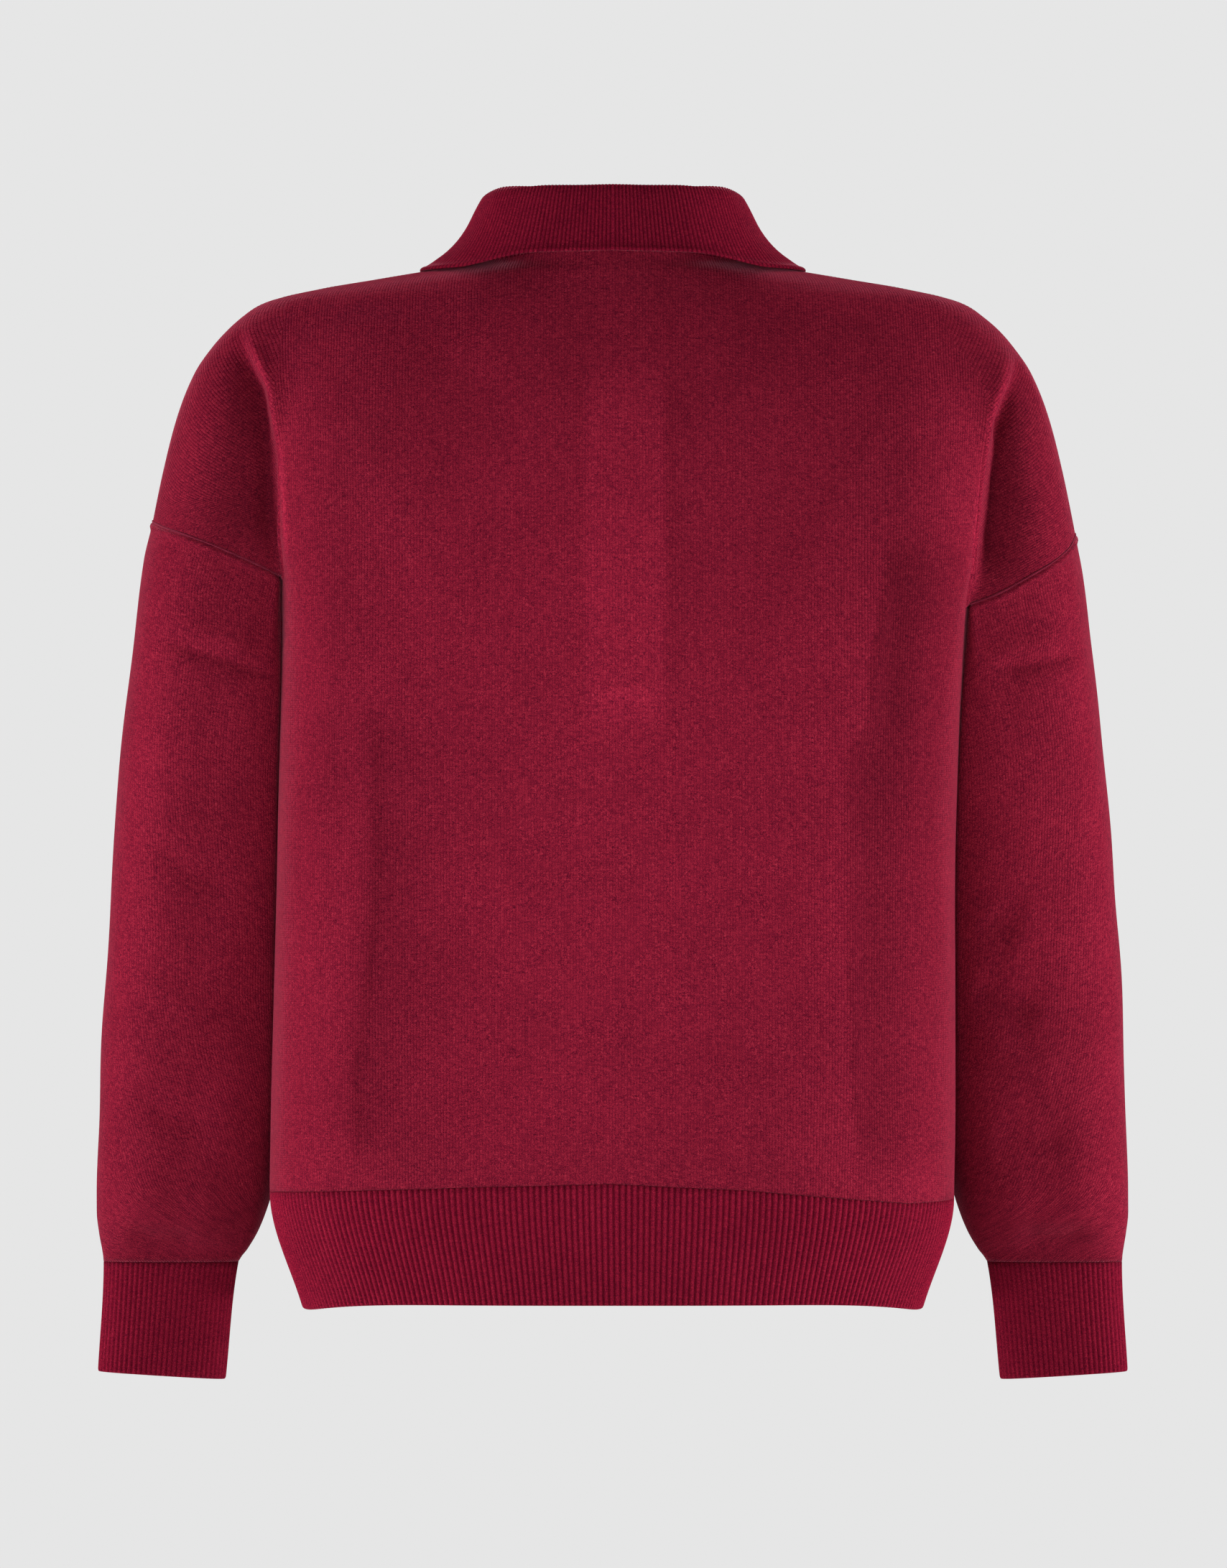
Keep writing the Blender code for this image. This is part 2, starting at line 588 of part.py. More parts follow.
# ---------------------------------------------------------------- placket and buttons
BAND_HALF_WIDTH = 22 * MM
BAND_END_Z = -254 * MM
BAND_ROWS = 12
BAND_TOP_GAP = 5.5 * MM
BUTTON_Z = (-80 * MM, -144 * MM, -208 * MM)
BUTTON_HOLE_RADIUS = 0.85 * MM
BUTTON_HOLE_REACH = 1.35 * MM
BUTTON_PROFILE = (  # mm, radius and height
    (0, 0), (4.2, 0), (5.3, 0.5), (5.75, 1.4), (5.2, 2.3), (4.3, 2.3), (3.6, 1.6), (0, 1.5)
)


def front_point(x, z):
    """A point of the front panel's outer face near the middle, by its place across and its height."""
    power = torso("squareness", z)
    share = 1 - np.abs((x - torso("lean", z)) / torso("half_width", z)) ** power
    return np.stack([x + 0 * z, -torso("front", z) * share ** (1 / power), z + 0 * x], axis=-1)


def front_normal(x, z):
    across = front_point(x + MM, z) - front_point(x - MM, z)
    upward = front_point(x, z + MM) - front_point(x, z - MM)
    normal = np.cross(across, upward)
    return normal / np.linalg.norm(normal, axis=-1, keepdims=True)


def build_band(name, half_width, end_z, lift, material):
    """A strip of cloth down the middle of the front, its outer face lifted off the panel's."""
    x = np.linspace(-half_width, half_width, 7)
    top = neck_z(np.arctan2(torso("front", NECK_FRONT_Z), np.abs(x)), True) - BAND_TOP_GAP
    share = np.linspace(1, 0, BAND_ROWS)[:, None]
    z = end_z + (top - end_z) * share
    x = np.tile(x, (BAND_ROWS, 1))
    surface, normal = front_point(x, z), front_normal(x, z)
    outer = surface + lift * normal
    inner = outer - BODY_WALL * normal
    sheet = grid_faces(np.arange(x.size).reshape(x.shape))
    return add_wall(name, outer.reshape(-1, 3), inner.reshape(-1, 3), sheet, material)


def turned(profile, steps):
    """Points and faces of a profile of radius and height turned round Z. Its ends lie on the axis."""
    turns = np.arange(steps) * 2 * math.pi / steps
    points, rows = [], []
    for radius, height in profile:
        if radius == 0:
            rows.append([len(points)] * steps)
            points.append((0, 0, height * MM))
            continue
        rows.append(list(range(len(points), len(points) + steps)))
        ring = radius * MM
        points += [(ring * math.cos(turn), ring * math.sin(turn), height * MM) for turn in turns]
    return np.array(points), grid_faces(np.array(rows), closed=True)


def build_button(number, z, material):
    """A round button with a rim and four holes, face out on the upper band."""
    button = add_piece(f"button_{number}", *turned(BUTTON_PROFILE, 20), material)
    hole_mm = BUTTON_HOLE_RADIUS / MM
    points, faces = turned(((0, -1), (hole_mm, -1), (hole_mm, 3), (0, 3)), 6)
    all_points, all_faces = [], []
    for quarter in range(4):
        turn = math.radians(45 + 90 * quarter)
        shift = np.array([math.cos(turn), math.sin(turn), 0]) * BUTTON_HOLE_REACH
        all_faces += [tuple(corner + quarter * len(points) for corner in face) for face in faces]
        all_points.append(points + shift)
    cutter = add_piece(f"button_{number}_holes", np.concatenate(all_points), all_faces, material)
    cutter.hide_render = True
    cutter.display_type = "WIRE"
    x, height = np.zeros(1), np.array([z])
    normal = front_normal(x, height)[0]
    seat = front_point(x, height)[0] + (BODY_WALL + 2 * SEAM_GAP) * normal
    tilt = math.atan2(normal[2], -normal[1])
    for item in (button, cutter):
        item.location = seat
        item.rotation_euler = (math.radians(90) - tilt, 0, 0)
    holes = button.modifiers.new("Holes", "BOOLEAN")
    holes.operation = "DIFFERENCE"
    holes.solver = "EXACT"
    holes.object = cutter
    return button


def main():
    for item in list(bpy.data.objects):
        bpy.data.objects.remove(item, do_unlink=True)
    body = cloth_colour("crimson_double_knit", (0.195, 0.011, 0.028), 0.92)
    rib = cloth_colour("crimson_rib", (0.160, 0.008, 0.022), 0.92)
    horn = cloth_colour("burgundy_button", (0.100, 0.006, 0.014), 0.35)
    build_panel("back", False, body)
    build_panel("front", True, body)
    for side in (1, -1):
        build_sleeve(side, body)
        build_cuff(side, rib)
    build_hem(rib)
    build_collar(rib)
    build_band("placket_over", BAND_HALF_WIDTH, BAND_END_Z, BODY_WALL + SEAM_GAP, rib)
    build_band("placket_under", SLOT_HALF_WIDTH - SEAM_GAP, SLOT_END_Z + SEAM_GAP, 0, rib)
    for number, z in enumerate(BUTTON_Z, 1):
        build_button(number, z, horn)


main()
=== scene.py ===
import math

import bmesh
import bpy
import numpy as np
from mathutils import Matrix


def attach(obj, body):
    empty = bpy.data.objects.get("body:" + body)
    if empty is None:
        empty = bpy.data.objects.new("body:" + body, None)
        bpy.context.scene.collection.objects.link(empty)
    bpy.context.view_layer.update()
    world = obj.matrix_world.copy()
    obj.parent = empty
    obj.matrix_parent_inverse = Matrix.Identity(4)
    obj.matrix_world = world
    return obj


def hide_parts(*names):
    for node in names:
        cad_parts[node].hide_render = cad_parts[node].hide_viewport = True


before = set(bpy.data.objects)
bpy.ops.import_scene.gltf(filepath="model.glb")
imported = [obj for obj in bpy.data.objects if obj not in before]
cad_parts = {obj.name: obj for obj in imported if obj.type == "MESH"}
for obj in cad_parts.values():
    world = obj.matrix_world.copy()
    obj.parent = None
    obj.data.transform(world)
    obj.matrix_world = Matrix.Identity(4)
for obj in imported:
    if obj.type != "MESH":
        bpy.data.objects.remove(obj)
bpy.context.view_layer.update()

# ------------------------------------------------------------------ the knitted body
# The back and the front are each knitted in one piece of fine wool double knit. Their shoulders drop
# onto the arms, so the armhole lies low round the arm and the wales over it run along its seam.
MM = 0.001
CLOTH_WALL = 2.0 * MM
HEM_SEAM_Z = -532.5 * MM
TORSO_COLUMNS = ("z", "lean", "half_width", "back", "front", "squareness")
TORSO = (
    (-600, 0, 179.5, 98, 97, 2.7),
    (-533, 0.5, 198, 112, 110, 2.9),
    (-500, 0, 198, 118, 117, 3.1),
    (-420, -1, 197, 120, 121, 3.4),
    (-340, -2, 196, 120, 123, 3.5),
    (-270, -4, 196.5, 119, 123, 3.6),
    (-217, -6.5, 198, 117, 120, 3.7),
    (-170, -8.5, 201, 114, 115, 3.8),
    (-130, -10, 204, 109, 108, 3.8),
    (-98, -11, 207, 103, 99, 3.7),
    (-72, -10, 210, 96, 90, 3.4),
    (-50, -5, 211, 88, 81, 2.8),
    (-34, -1, 209, 81, 73, 2.4),
    (-26, 0, 205.5, 77, 68.5, 2.25),
    (-20, 0, 199.5, 74, 65, 2.18),
    (-14.6, 0, 187.5, 71, 62, 2.1),
    (-9.1, 0, 163.2, 68, 59, 2.0),
    (-5, 0, 138.5, 66, 57, 2.0),
    (-0.8, 0, 113.6, 64, 54, 2.0),
    (4.4, 0, 83, 61, 50, 2.0),
    (10, 0, 76, 58, 46, 2.0),
    (20, 0, 70, 54, 40, 2.0),
)
ARM_COLUMNS = ("z", "outer", "inner", "forward", "half_depth")
ARM = (
    (-641, 300, 225.5, 49, 19),
    (-575, 296.6, 218, 48, 20),
    (-568, 297.2, 213, 47.5, 22.4),
    (-558, 298.7, 207, 47, 28.6),
    (-546, 300, 202, 46, 35.2),
    (-533, 300, 198, 45, 40),
    (-483, 298, 188, 41, 46),
    (-433, 296, 184, 36, 50),
    (-334, 290, 180, 25, 55),
    (-259, 283, 177, 14, 59),
    (-200, 275.5, 176, 4, 60),
    (-171, 271, 174, 1, 60),
    (-144, 266, 168, 0, 60),
    (-115, 260, 164, 0, 59),
    (-84, 252, 160, 0, 56),
    (-59, 242, 156, 0, 51),
    (-44, 231.8, 153, 0, 45.5),
    (-35, 223.6, 151, 0, 41.5),
    (-26, 211.5, 147, 0, 36),
    (-18, 195.5, 142, 0, 28),
    (-10, 152, 124, 0, 18),
    (-3, 108, 88, 0, 12),
    (5, 60, 40, 0, 8),
)
ARM_SQUARENESS = 2.7
CREASE_ROUND, CREASE_ROUND_Z = (20 * MM, 6 * MM), (-62 * MM, -118 * MM)
NECK_SIDE_Z, NECK_BACK_Z, NECK_FRONT_Z, NECK_ROWS_FROM_Z = 4.4 * MM, 15 * MM, -52 * MM, -118 * MM
NECK_ROUNDNESS = {"back": 1.9, "front": 3.4}
SLOT_HALF_WIDTH, SLOT_END_Z = 19 * MM, -246 * MM
UNDERARM_CLEARANCE = 0.4 * MM
RAY_STEP, RAY_END, RAY_HALVINGS = 3, 330, 12  # search along a ray for the body's surface, in mm
SLOPE_STEP = 0.5 * MM
FULL_ARM = -1.0  # an arms_from below the garment: the arm is there at every height
NO_ARM = 0.0  # and one at its top: the torso alone


def read(table, columns, name, at):
    """A table's column between its rows: cubic pieces, whose slope at each row is the harmonic mean of the
    slopes beside it."""
    rows = np.array(sorted(table), float)
    knots, values = rows[:, 0], rows[:, columns.index(name)]
    steps = np.diff(knots)
    rises = np.diff(values) / steps
    slopes = np.concatenate([rises[:1], np.zeros(len(rises) - 1), rises[-1:]])
    product = rises[:-1] * rises[1:]
    total = np.where(product > 0, rises[:-1] + rises[1:], 1.0)
    slopes[1:-1] = np.where(product > 0, 2 * product / total, 0.0)
    at = np.clip(at, knots[0], knots[-1])
    cell = np.clip(np.searchsorted(knots, at) - 1, 0, len(steps) - 1)
    part = (at - knots[cell]) / steps[cell]
    start, end = values[cell], values[cell + 1]
    bend_in, bend_out = slopes[cell] * steps[cell], slopes[cell + 1] * steps[cell]
    level = (1 + 2 * part) * (1 - part) ** 2 * start + part**2 * (3 - 2 * part) * end
    return level + part * (1 - part) ** 2 * bend_in - part**2 * (1 - part) * bend_out


def torso(name, z):
    value = read(TORSO, TORSO_COLUMNS, name, z / MM)
    return value if name == "squareness" else value * MM


def arm(name, z):
    return read(ARM, ARM_COLUMNS, name, z / MM) * MM


def unit(vectors):
    """The vectors scaled to length one."""
    return vectors / np.linalg.norm(vectors, axis=-1, keepdims=True)


def ease(value, start, end):
    """0 before start, 1 after end, and part squared times (3 - 2 part) between."""
    part = np.clip((value - start) / (end - start), 0, 1)
    return part * part * (3 - 2 * part)


def body_sizes(z, arms_from):
    """The torso's and the arm's sizes at each height, the rounding of the crease between them, and how far
    the arm is put off below the height that it starts from."""
    outer, inner = arm("outer", z), arm("inner", z)
    soft = CREASE_ROUND[0] + (CREASE_ROUND[1] - CREASE_ROUND[0]) * ease(-z, *(-np.array(CREASE_ROUND_Z)))
    torso_sizes = tuple(torso(name, z) for name in TORSO_COLUMNS[1:])
    arm_sizes = ((outer + inner) / 2, (outer - inner) / 2, arm("forward", z), arm("half_depth", z))
    return torso_sizes, arm_sizes, soft, 1 - ease(z, arms_from - 6 * MM, arms_from)


def ring_radius(turn, half_x, half_y, squareness):
    """A superellipse's radius: (|cos / half x| to a power + |sin / half y| to it) to the minus one over it."""
    ratio = np.abs(np.cos(turn) / half_x) ** squareness + np.abs(np.sin(turn) / half_y) ** squareness
    return ratio ** (-1 / squareness)


def outside(x, y, half_x, half_y, squareness):
    """Distance past a superellipse along the ray from its middle: radius times (1 - 1 / its ratio)."""
    ratio = (np.abs(x / half_x) ** squareness + np.abs(y / half_y) ** squareness) ** (1 / squareness)
    return np.hypot(x, y) * (1 - 1 / np.maximum(ratio, 1e-6))


def outside_both(x, y, sizes):
    """Distances past the torso's section and past the arm's."""
    (lean, half_width, back, front, squareness), (middle, half_arm, forward, half_depth), _, off = sizes
    from_torso = outside(x - lean, y, half_width, np.where(y > 0, back, front), squareness)
    from_arm = outside(np.abs(x) - middle, y + forward, half_arm, half_depth, ARM_SQUARENESS)
    return from_torso, from_arm + off


def outside_body(x, y, sizes):
    """Smooth union of the two sections: their lesser distance less a rounded corner."""
    from_torso, from_arm = outside_both(x, y, sizes)
    near = np.maximum(sizes[2] - np.abs(from_torso - from_arm), 0) / sizes[2]
    return np.minimum(from_torso, from_arm) - near**2 * sizes[2] / 4


def first_crossing(start_x, start_y, angle, z, side, sizes):
    """Where a level ray from a point inside first leaves the body: even steps, then halving."""
    start_x, start_y, angle, z = np.broadcast_arrays(start_x, start_y, angle, z)
    across, along = np.cos(angle), np.sin(angle)
    low, going = np.zeros(z.shape), np.ones(z.shape, bool)
    for reach in np.arange(RAY_STEP, RAY_END, RAY_STEP) * MM:
        going &= outside_body(side * (start_x + across * reach), start_y + along * reach, sizes) < 0
        low = np.where(going, reach, low)
    high = low + RAY_STEP * MM
    for _ in range(RAY_HALVINGS):
        middle = (low + high) / 2
        within = outside_body(side * (start_x + across * middle), start_y + along * middle, sizes) < 0
        low, high = np.where(within, middle, low), np.where(within, high, middle)
    return np.stack([side * (start_x + across * low), start_y + along * low, z + 0 * low], axis=-1)


def body_point(angle, z, side, arms_from=FULL_ARM):
    """The body's surface on a level ray from the Z axis."""
    angle, z = np.broadcast_arrays(np.asarray(angle, float), np.asarray(z, float))
    return first_crossing(0.0, 0.0, angle, z, side, body_sizes(z, arms_from))


def body_normal(point, arms_from=FULL_ARM):
    """The outward direction: the slope of the distance past the body, by small differences."""
    x, y, z = np.moveaxis(point, -1, 0)
    step = SLOPE_STEP
    level, above, below = (body_sizes(z + shift, arms_from) for shift in (0, step, -step))
    slope = np.stack(
        [
            outside_body(x + step, y, level) - outside_body(x - step, y, level),
            outside_body(x, y + step, level) - outside_body(x, y - step, level),
            outside_body(x, y, above) - outside_body(x, y, below),
        ],
        axis=-1,
    )
    return unit(slope)


# Height of the armhole seam by the turn round the arm, from its outside over the back (+) or front (-).
ARMHOLE_COLUMNS = ("turn", "left", "right")
ARMHOLE = (
    (-180, -205, -205),
    (-150, -199, -200),
    (-125, -190, -192),
    (-100, -176, -181),
    (-67, -158, -166),
    (-35, -147.5, -155),
    (0, -144, -151.5),
    (25, -145.5, -154),
    (48, -149, -163),
    (65, -153.5, -172),
    (100, -167, -190),
    (125, -179, -197),
    (150, -193, -203),
    (180, -205, -205.1),
)


def armhole_z(turn, side):
    """Height of the armhole seam at a turn round the arm, in degrees."""
    return read(ARMHOLE, ARMHOLE_COLUMNS, "left" if side > 0 else "right", turn) * MM


def torso_side(y, z, side):
    """Distance of the torso's side from the middle plane: the superellipse solved for x."""
    half_depth = np.where(y > 0, torso("back", z), torso("front", z))
    power = torso("squareness", z)
    share = np.clip(1 - np.abs(y / half_depth) ** power, 1e-6, 1)
    return side * torso("lean", z) + torso("half_width", z) * share ** (1 / power)


UNLIMITED = -1.0  # a clearance that flattens nothing


def arm_section(turn, z, side, clearance):
    """A superellipse round the arm, flattened where it would come nearer the torso than the clearance."""
    turn = np.radians(turn)
    outer, inner = arm("outer", z), arm("inner", z)
    radius = ring_radius(turn, (outer - inner) / 2, arm("half_depth", z), ARM_SQUARENESS)
    x, y = (outer + inner) / 2 + radius * np.cos(turn), -arm("forward", z) + radius * np.sin(turn)
    x = np.maximum(x, torso_side(y, z, side) + clearance)
    return np.stack([side * x, y, z + 0 * x], axis=-1)


def neck_z(angle, panel):
    """Height of the neck edge: from the side's to the middle's with a power of the angle's sine."""
    middle = NECK_FRONT_Z if panel == "front" else NECK_BACK_Z
    return NECK_SIDE_Z + (middle - NECK_SIDE_Z) * np.sin(angle) ** NECK_ROUNDNESS[panel]


CREASE_PLACES = np.arange(60, 236, 1.0) * MM
CREASE_LIMIT = 0.93  # of the distance to the shoulder seam
CREASE_SMOOTHING = 5  # heights that are averaged


def crease_point(panel, side, z):
    """The bottom of the crease between torso and arm: along a row of points across the body at each height,
    the last one that is nearer the torso than the arm. Near the neck it keeps short of the shoulder seam."""
    facing = (-1 if panel == "front" else 1) * math.pi / 2
    x, level = np.meshgrid(CREASE_PLACES, z)
    sizes = body_sizes(level, FULL_ARM)
    point = first_crossing(x, 0.0, facing, level, side, sizes)
    from_torso, from_arm = outside_both(point[..., 0], point[..., 1], sizes)
    torso_is_nearer = (from_torso < from_arm) & (np.abs(point[..., 1]) > 2 * MM)
    last = len(CREASE_PLACES) - 1 - np.argmax(torso_is_nearer[:, ::-1], axis=1)
    limit = CREASE_LIMIT * np.abs(body_point(0 * z, z, side)[:, 0])
    padded = np.pad(np.minimum(CREASE_PLACES[last], limit), CREASE_SMOOTHING // 2, mode="edge")
    found = sum(padded[shift : shift + len(z)] for shift in range(CREASE_SMOOTHING)) / CREASE_SMOOTHING
    return first_crossing(found, 0.0, facing, z, side, body_sizes(z, FULL_ARM))


CORNER_GUESS_Z, CORNER_STEPS = -184 * MM, 6


def crease_corner(panel, side):
    """Where the armhole seam meets the crease: the turn round the arm and the height, found in steps."""
    sign, z = (-1 if panel == "front" else 1), np.array([CORNER_GUESS_Z])
    for _ in range(CORNER_STEPS):
        point = crease_point(panel, side, z)[0]
        middle = float(arm("outer", z)[0] + arm("inner", z)[0]) / 2
        turn = math.atan2(sign * (point[1] + float(arm("forward", z)[0])), side * point[0] - middle)
        z = np.atleast_1d(armhole_z(sign * math.degrees(turn), side))
    return math.degrees(turn), float(z[0])


CORNERS = {(panel, side): crease_corner(panel, side) for panel in ("back", "front") for side in (1, -1)}
UNDERARM_ROUND = 4  # degrees over which the seam's ends under the arm draw in to the side


def corner_turn(turn, side):
    """The turn at which the armhole seam dives under the arm, on the back (+) or the front (-)."""
    return np.where(turn > 0, CORNERS["back", side][0], CORNERS["front", side][0])


def armhole_seam(turn, side):
    """The armhole seam's points and outward directions: over the arm the body's surface on rays from the
    arm's middle, and under it the torso's own side."""
    z = armhole_z(turn, side)
    over = np.abs(turn) <= corner_turn(turn, side) + 1e-6
    middle, forward = (arm("outer", z) + arm("inner", z)) / 2, arm("forward", z)
    above = first_crossing(middle, -forward, np.radians(turn), z, side, body_sizes(z, FULL_ARM))
    y, left = arm_section(turn, z, side, UNLIMITED)[..., 1], 180 - np.abs(turn)
    y = np.where(over, y, y * left / (left + UNDERARM_ROUND))
    below = np.stack([side * torso_side(y, z, side), y, z], axis=-1)
    normal = np.where(over[:, None], body_normal(above), body_normal(below, NO_ARM))
    return np.where(over[:, None], above, below), normal


def beside(path, x, z):
    """Distance from a line of points in the X-Z plane, positive on the -X side of a falling line, and the
    share of the line's length at the nearest point. All in mm."""
    nearest, signed, share, run = np.full(x.shape, 1e9), np.zeros(x.shape), np.zeros(x.shape), 0.0
    steps = np.diff(np.array(path, float), axis=0)
    lengths = np.hypot(*steps.T)
    for (from_x, from_z), (step_x, step_z), length in zip(path, steps, lengths):
        part = np.clip(((x - from_x) * step_x + (z - from_z) * step_z) / length**2, 0, 1)
        off_x, off_z = x - from_x - part * step_x, z - from_z - part * step_z
        distance = np.hypot(off_x, off_z)
        turned = np.where(step_x * off_z - step_z * off_x > 0, -1.0, 1.0)
        closer = distance < nearest
        nearest = np.where(closer, distance, nearest)
        signed = np.where(closer, turned * distance, signed)
        share = np.where(closer, (run + part * length) / lengths.sum(), share)
        run += length
    return signed, share


# Lines on the cloth (mm): the ridges along the dropped armholes, the hollows beside them on the caps,
# and the marks that the folded garment's edges pressed into the back.
LEFT_RIDGE = ((212, -28), (206.5, -49), (197, -69.5), (191, -105), (188.5, -150), (188, -184))
LEFT_HOLLOW = ((218, -32), (212.5, -49), (203.5, -69.5), (197.5, -105), (195, -150), (193.5, -174))
RIGHT_RIDGE = ((-231, -40), (-225.5, -65), (-216, -88), (-211.5, -124), (-207, -169), (-206, -200))
RIGHT_HOLLOW = ((-237, -44), (-232, -65), (-222.5, -88), (-218, -124), (-214, -163), (-212, -186))
RIGHT_MARK = (
    (-160, -140), (-157.7, -169.3), (-148.5, -228.4), (-146, -264.6),
    (-134.8, -280.4), (-134.8, -386.9), (-138.5, -477.6), (-142, -532),
)
LEFT_MARK = ((136, -240), (134.8, -277.9), (134, -341.5), (139.4, -409.3), (146.4, -463.8), (144, -530))
# Height, width on the +X side, width on the -X side, share of the line that fades at each end, line (mm).
BACK_FOLDS = (
    (4.6, 2.2, 7, 0.2, LEFT_RIDGE),
    (-10, 15, 1.8, 0.24, LEFT_HOLLOW),
    (4.6, 7, 2.2, 0.2, RIGHT_RIDGE),
    (-10, 1.8, 15, 0.24, RIGHT_HOLLOW),
    (5.2, 60, 5, 0.18, RIGHT_MARK),
    (2.8, 36, 12, 0.18, LEFT_MARK),
    (-2.2, 20, 20, 0.3, ((176, -232), (158, -262), (156, -330), (162, -420))),
    (1.6, 34, 24, 0.3, ((60, -330), (54, -420), (62, -500))),
    (-1.8, 30, 40, 0.3, ((-60, -300), (-70, -400), (-52, -500))),
    (1.7, 18, 26, 0.3, ((-170, -60), (-120, -150), (-96, -240))),
    (1.6, 24, 18, 0.3, ((165, -64), (120, -140), (92, -230))),
    (-1.5, 12, 12, 0.3, ((118, -30), (88, -62), (40, -84))),
    (1.2, 14, 14, 0.3, ((-40, -90), (-84, -66), (-120, -30))),
)
FRONT_FOLDS = (
    (4.4, 2.2, 7, 0.2, ((211, -34), (205, -58), (196.5, -84), (190.5, -130), (188.5, -188))),
    (-9, 15, 1.8, 0.24, ((217, -38), (211, -58), (203, -84), (197, -130), (194.5, -184))),
    (4.4, 7, 2.2, 0.2, ((-228, -42), (-222, -66), (-213.5, -92), (-208.5, -136), (-205.5, -190))),
    (-9, 1.8, 15, 0.24, ((-234.5, -46), (-228.5, -66), (-220, -92), (-215, -136), (-212, -184))),
    (2.4, 14, 40, 0.2, ((150, -190), (132, -270), (126, -360), (136, -460), (140, -528))),
    (2.7, 44, 13, 0.2, ((-158, -170), (-140, -250), (-130, -350), (-140, -450), (-138, -528))),
    (-2.0, 26, 30, 0.3, ((70, -270), (64, -380), (78, -500))),
    (1.9, 30, 26, 0.3, ((-66, -280), (-58, -400), (-72, -505))),
    (1.7, 20, 24, 0.3, ((168, -66), (124, -150), (100, -240))),
    (1.5, 24, 20, 0.3, ((-172, -62), (-130, -150), (-98, -232))),
)

# Painted light and shade beside the same lines: how much lighter or darker the colour is painted, as painted
# highlights on the ridges and painted shade in the hollows, beside the pressed marks, beside the placket's
# print and down both sides of the back: the share of the yarn's colour, then the columns above.
# Painted highlight over the placket's raised print: the share of the yarn's colour added for each millimetre of
# its height.
PRINT_PAINTED_HIGHLIGHT = 0.16
BACK_PAINTED_SHADING = (
    (0.46, 0.9, 0.9, 0.2, LEFT_RIDGE),
    (-0.3, 16, 1.0, 0.24, LEFT_HOLLOW),
    (0.46, 0.9, 0.9, 0.2, RIGHT_RIDGE),
    (-0.26, 1.0, 16, 0.24, RIGHT_HOLLOW),
    (0.14, 22, 0.7, 0.1, RIGHT_MARK),
    (-0.31, 0.7, 60, 0.1, RIGHT_MARK),
    (-0.10, 50, 1.0, 0.14, LEFT_MARK),
    (-0.22, 5.0, 34, 0.14, LEFT_MARK),
    # Painted shade beside the placket's print, and broad painted shade down both sides of the back.
    (-0.10, 0.8, 12, 0.2, ((-31, -50), (-31, -250))),
    (-0.17, 26, 26, 0.35, ((156, 20), (158, -400))),
    (-0.19, 26, 26, 0.35, ((-165, 0), (-165, -390))),
)
# On the front: painted highlights on the armholes' ridges and painted shade in the hollows beside them.
FRONT_PAINTED_SHADING = (
    (0.3, 1.5, 1.5, 0.2, FRONT_FOLDS[0][4]),
    (-0.22, 16, 1.2, 0.24, FRONT_FOLDS[1][4]),
    (0.3, 1.5, 1.5, 0.2, FRONT_FOLDS[2][4]),
    (-0.22, 1.2, 16, 0.24, FRONT_FOLDS[3][4]),
)


def relief(folds, x, z):
    """Sum of the folds: height times e to the minus of a rounded distance over the width on that side."""
    total = np.zeros(x.shape)
    x, z = x / MM, z / MM
    for height, width_up, width_down, fade, path in folds:
        away, share = beside(path, x, z)
        width = width_up + (width_down - width_up) * ease(away, -1.5, 1.5)
        ends = ease(share, 0, fade) * (1 - ease(share, 1 - fade, 1))
        total += height * ends * np.exp(-(np.sqrt(away**2 + 4) - 2) / width)
    return total * MM


FRONT_WAVES = 0.7  # metres that the front's waves are moved by, so that they differ from the back's


def slow_waves(x, z):
    """Uneven hang of the cloth: four crossed sine waves, each under half a millimetre high."""
    wave = 0.45 * np.sin(x * 31 + 4 * np.sin(z * 9)) + 0.3 * np.sin(z * 43 + 3 * np.sin(x * 17 + 1))
    wave = wave + 0.25 * np.sin(x * 71 - z * 37 + 2) + 0.2 * np.sin(x * 53 + z * 67)
    return wave * MM


# The rib's upper edge doesn't hang level: its rise in mm at each angle round the body, from the left side.
HEM_RISE = (
    (0, 0), (20, 1.5), (55, 5.5), (90, 7.4), (125, 3.6), (155, -4.8),
    (180, -3), (225, 0), (270, 1), (320, 0), (360, 0),
)
HEM_RISE_REACH = 55 * MM


def hem_rise(point):
    """The rise of the hem seam at a point's angle round the body, on straight lines between the table's
    rows. It fades with e to the minus of the height above the seam over its reach."""
    around = np.degrees(np.arctan2(point[..., 1], point[..., 0])) % 360
    rise = np.interp(around, *zip(*HEM_RISE)) * MM
    return rise * np.exp(-np.maximum(point[..., 2] - HEM_SEAM_Z, 0) / HEM_RISE_REACH)


# Height, then from where to where (mm) each side rises: on the -X side, on the +X side, below and above.
PRINT = (
    (1.2, (-33, -26), (18, 11), (-268, -256), (-34, -80)),
    (1.0, (-26, -18), (10, 2), (-253, -247), (-238, -244)),
)


def placket_print(x, z):
    """The front's placket shows through the back as a flat raised strip, thicker at its lower end."""
    x, z = x / MM, z / MM
    return MM * sum(
        height * ease(x, *left) * ease(x, *right) * ease(z, *low) * ease(z, *high)
        for height, left, right, low, high in PRINT
    )


FACING = (0.12, 0.45)  # how far the cloth has to look back or front for its folds: none, and all of them
HEM_RIM, NECK_RIM, SIDE_RIM = 22 * MM, (-26 * MM, 2 * MM), 16 * MM  # where the relief fades out


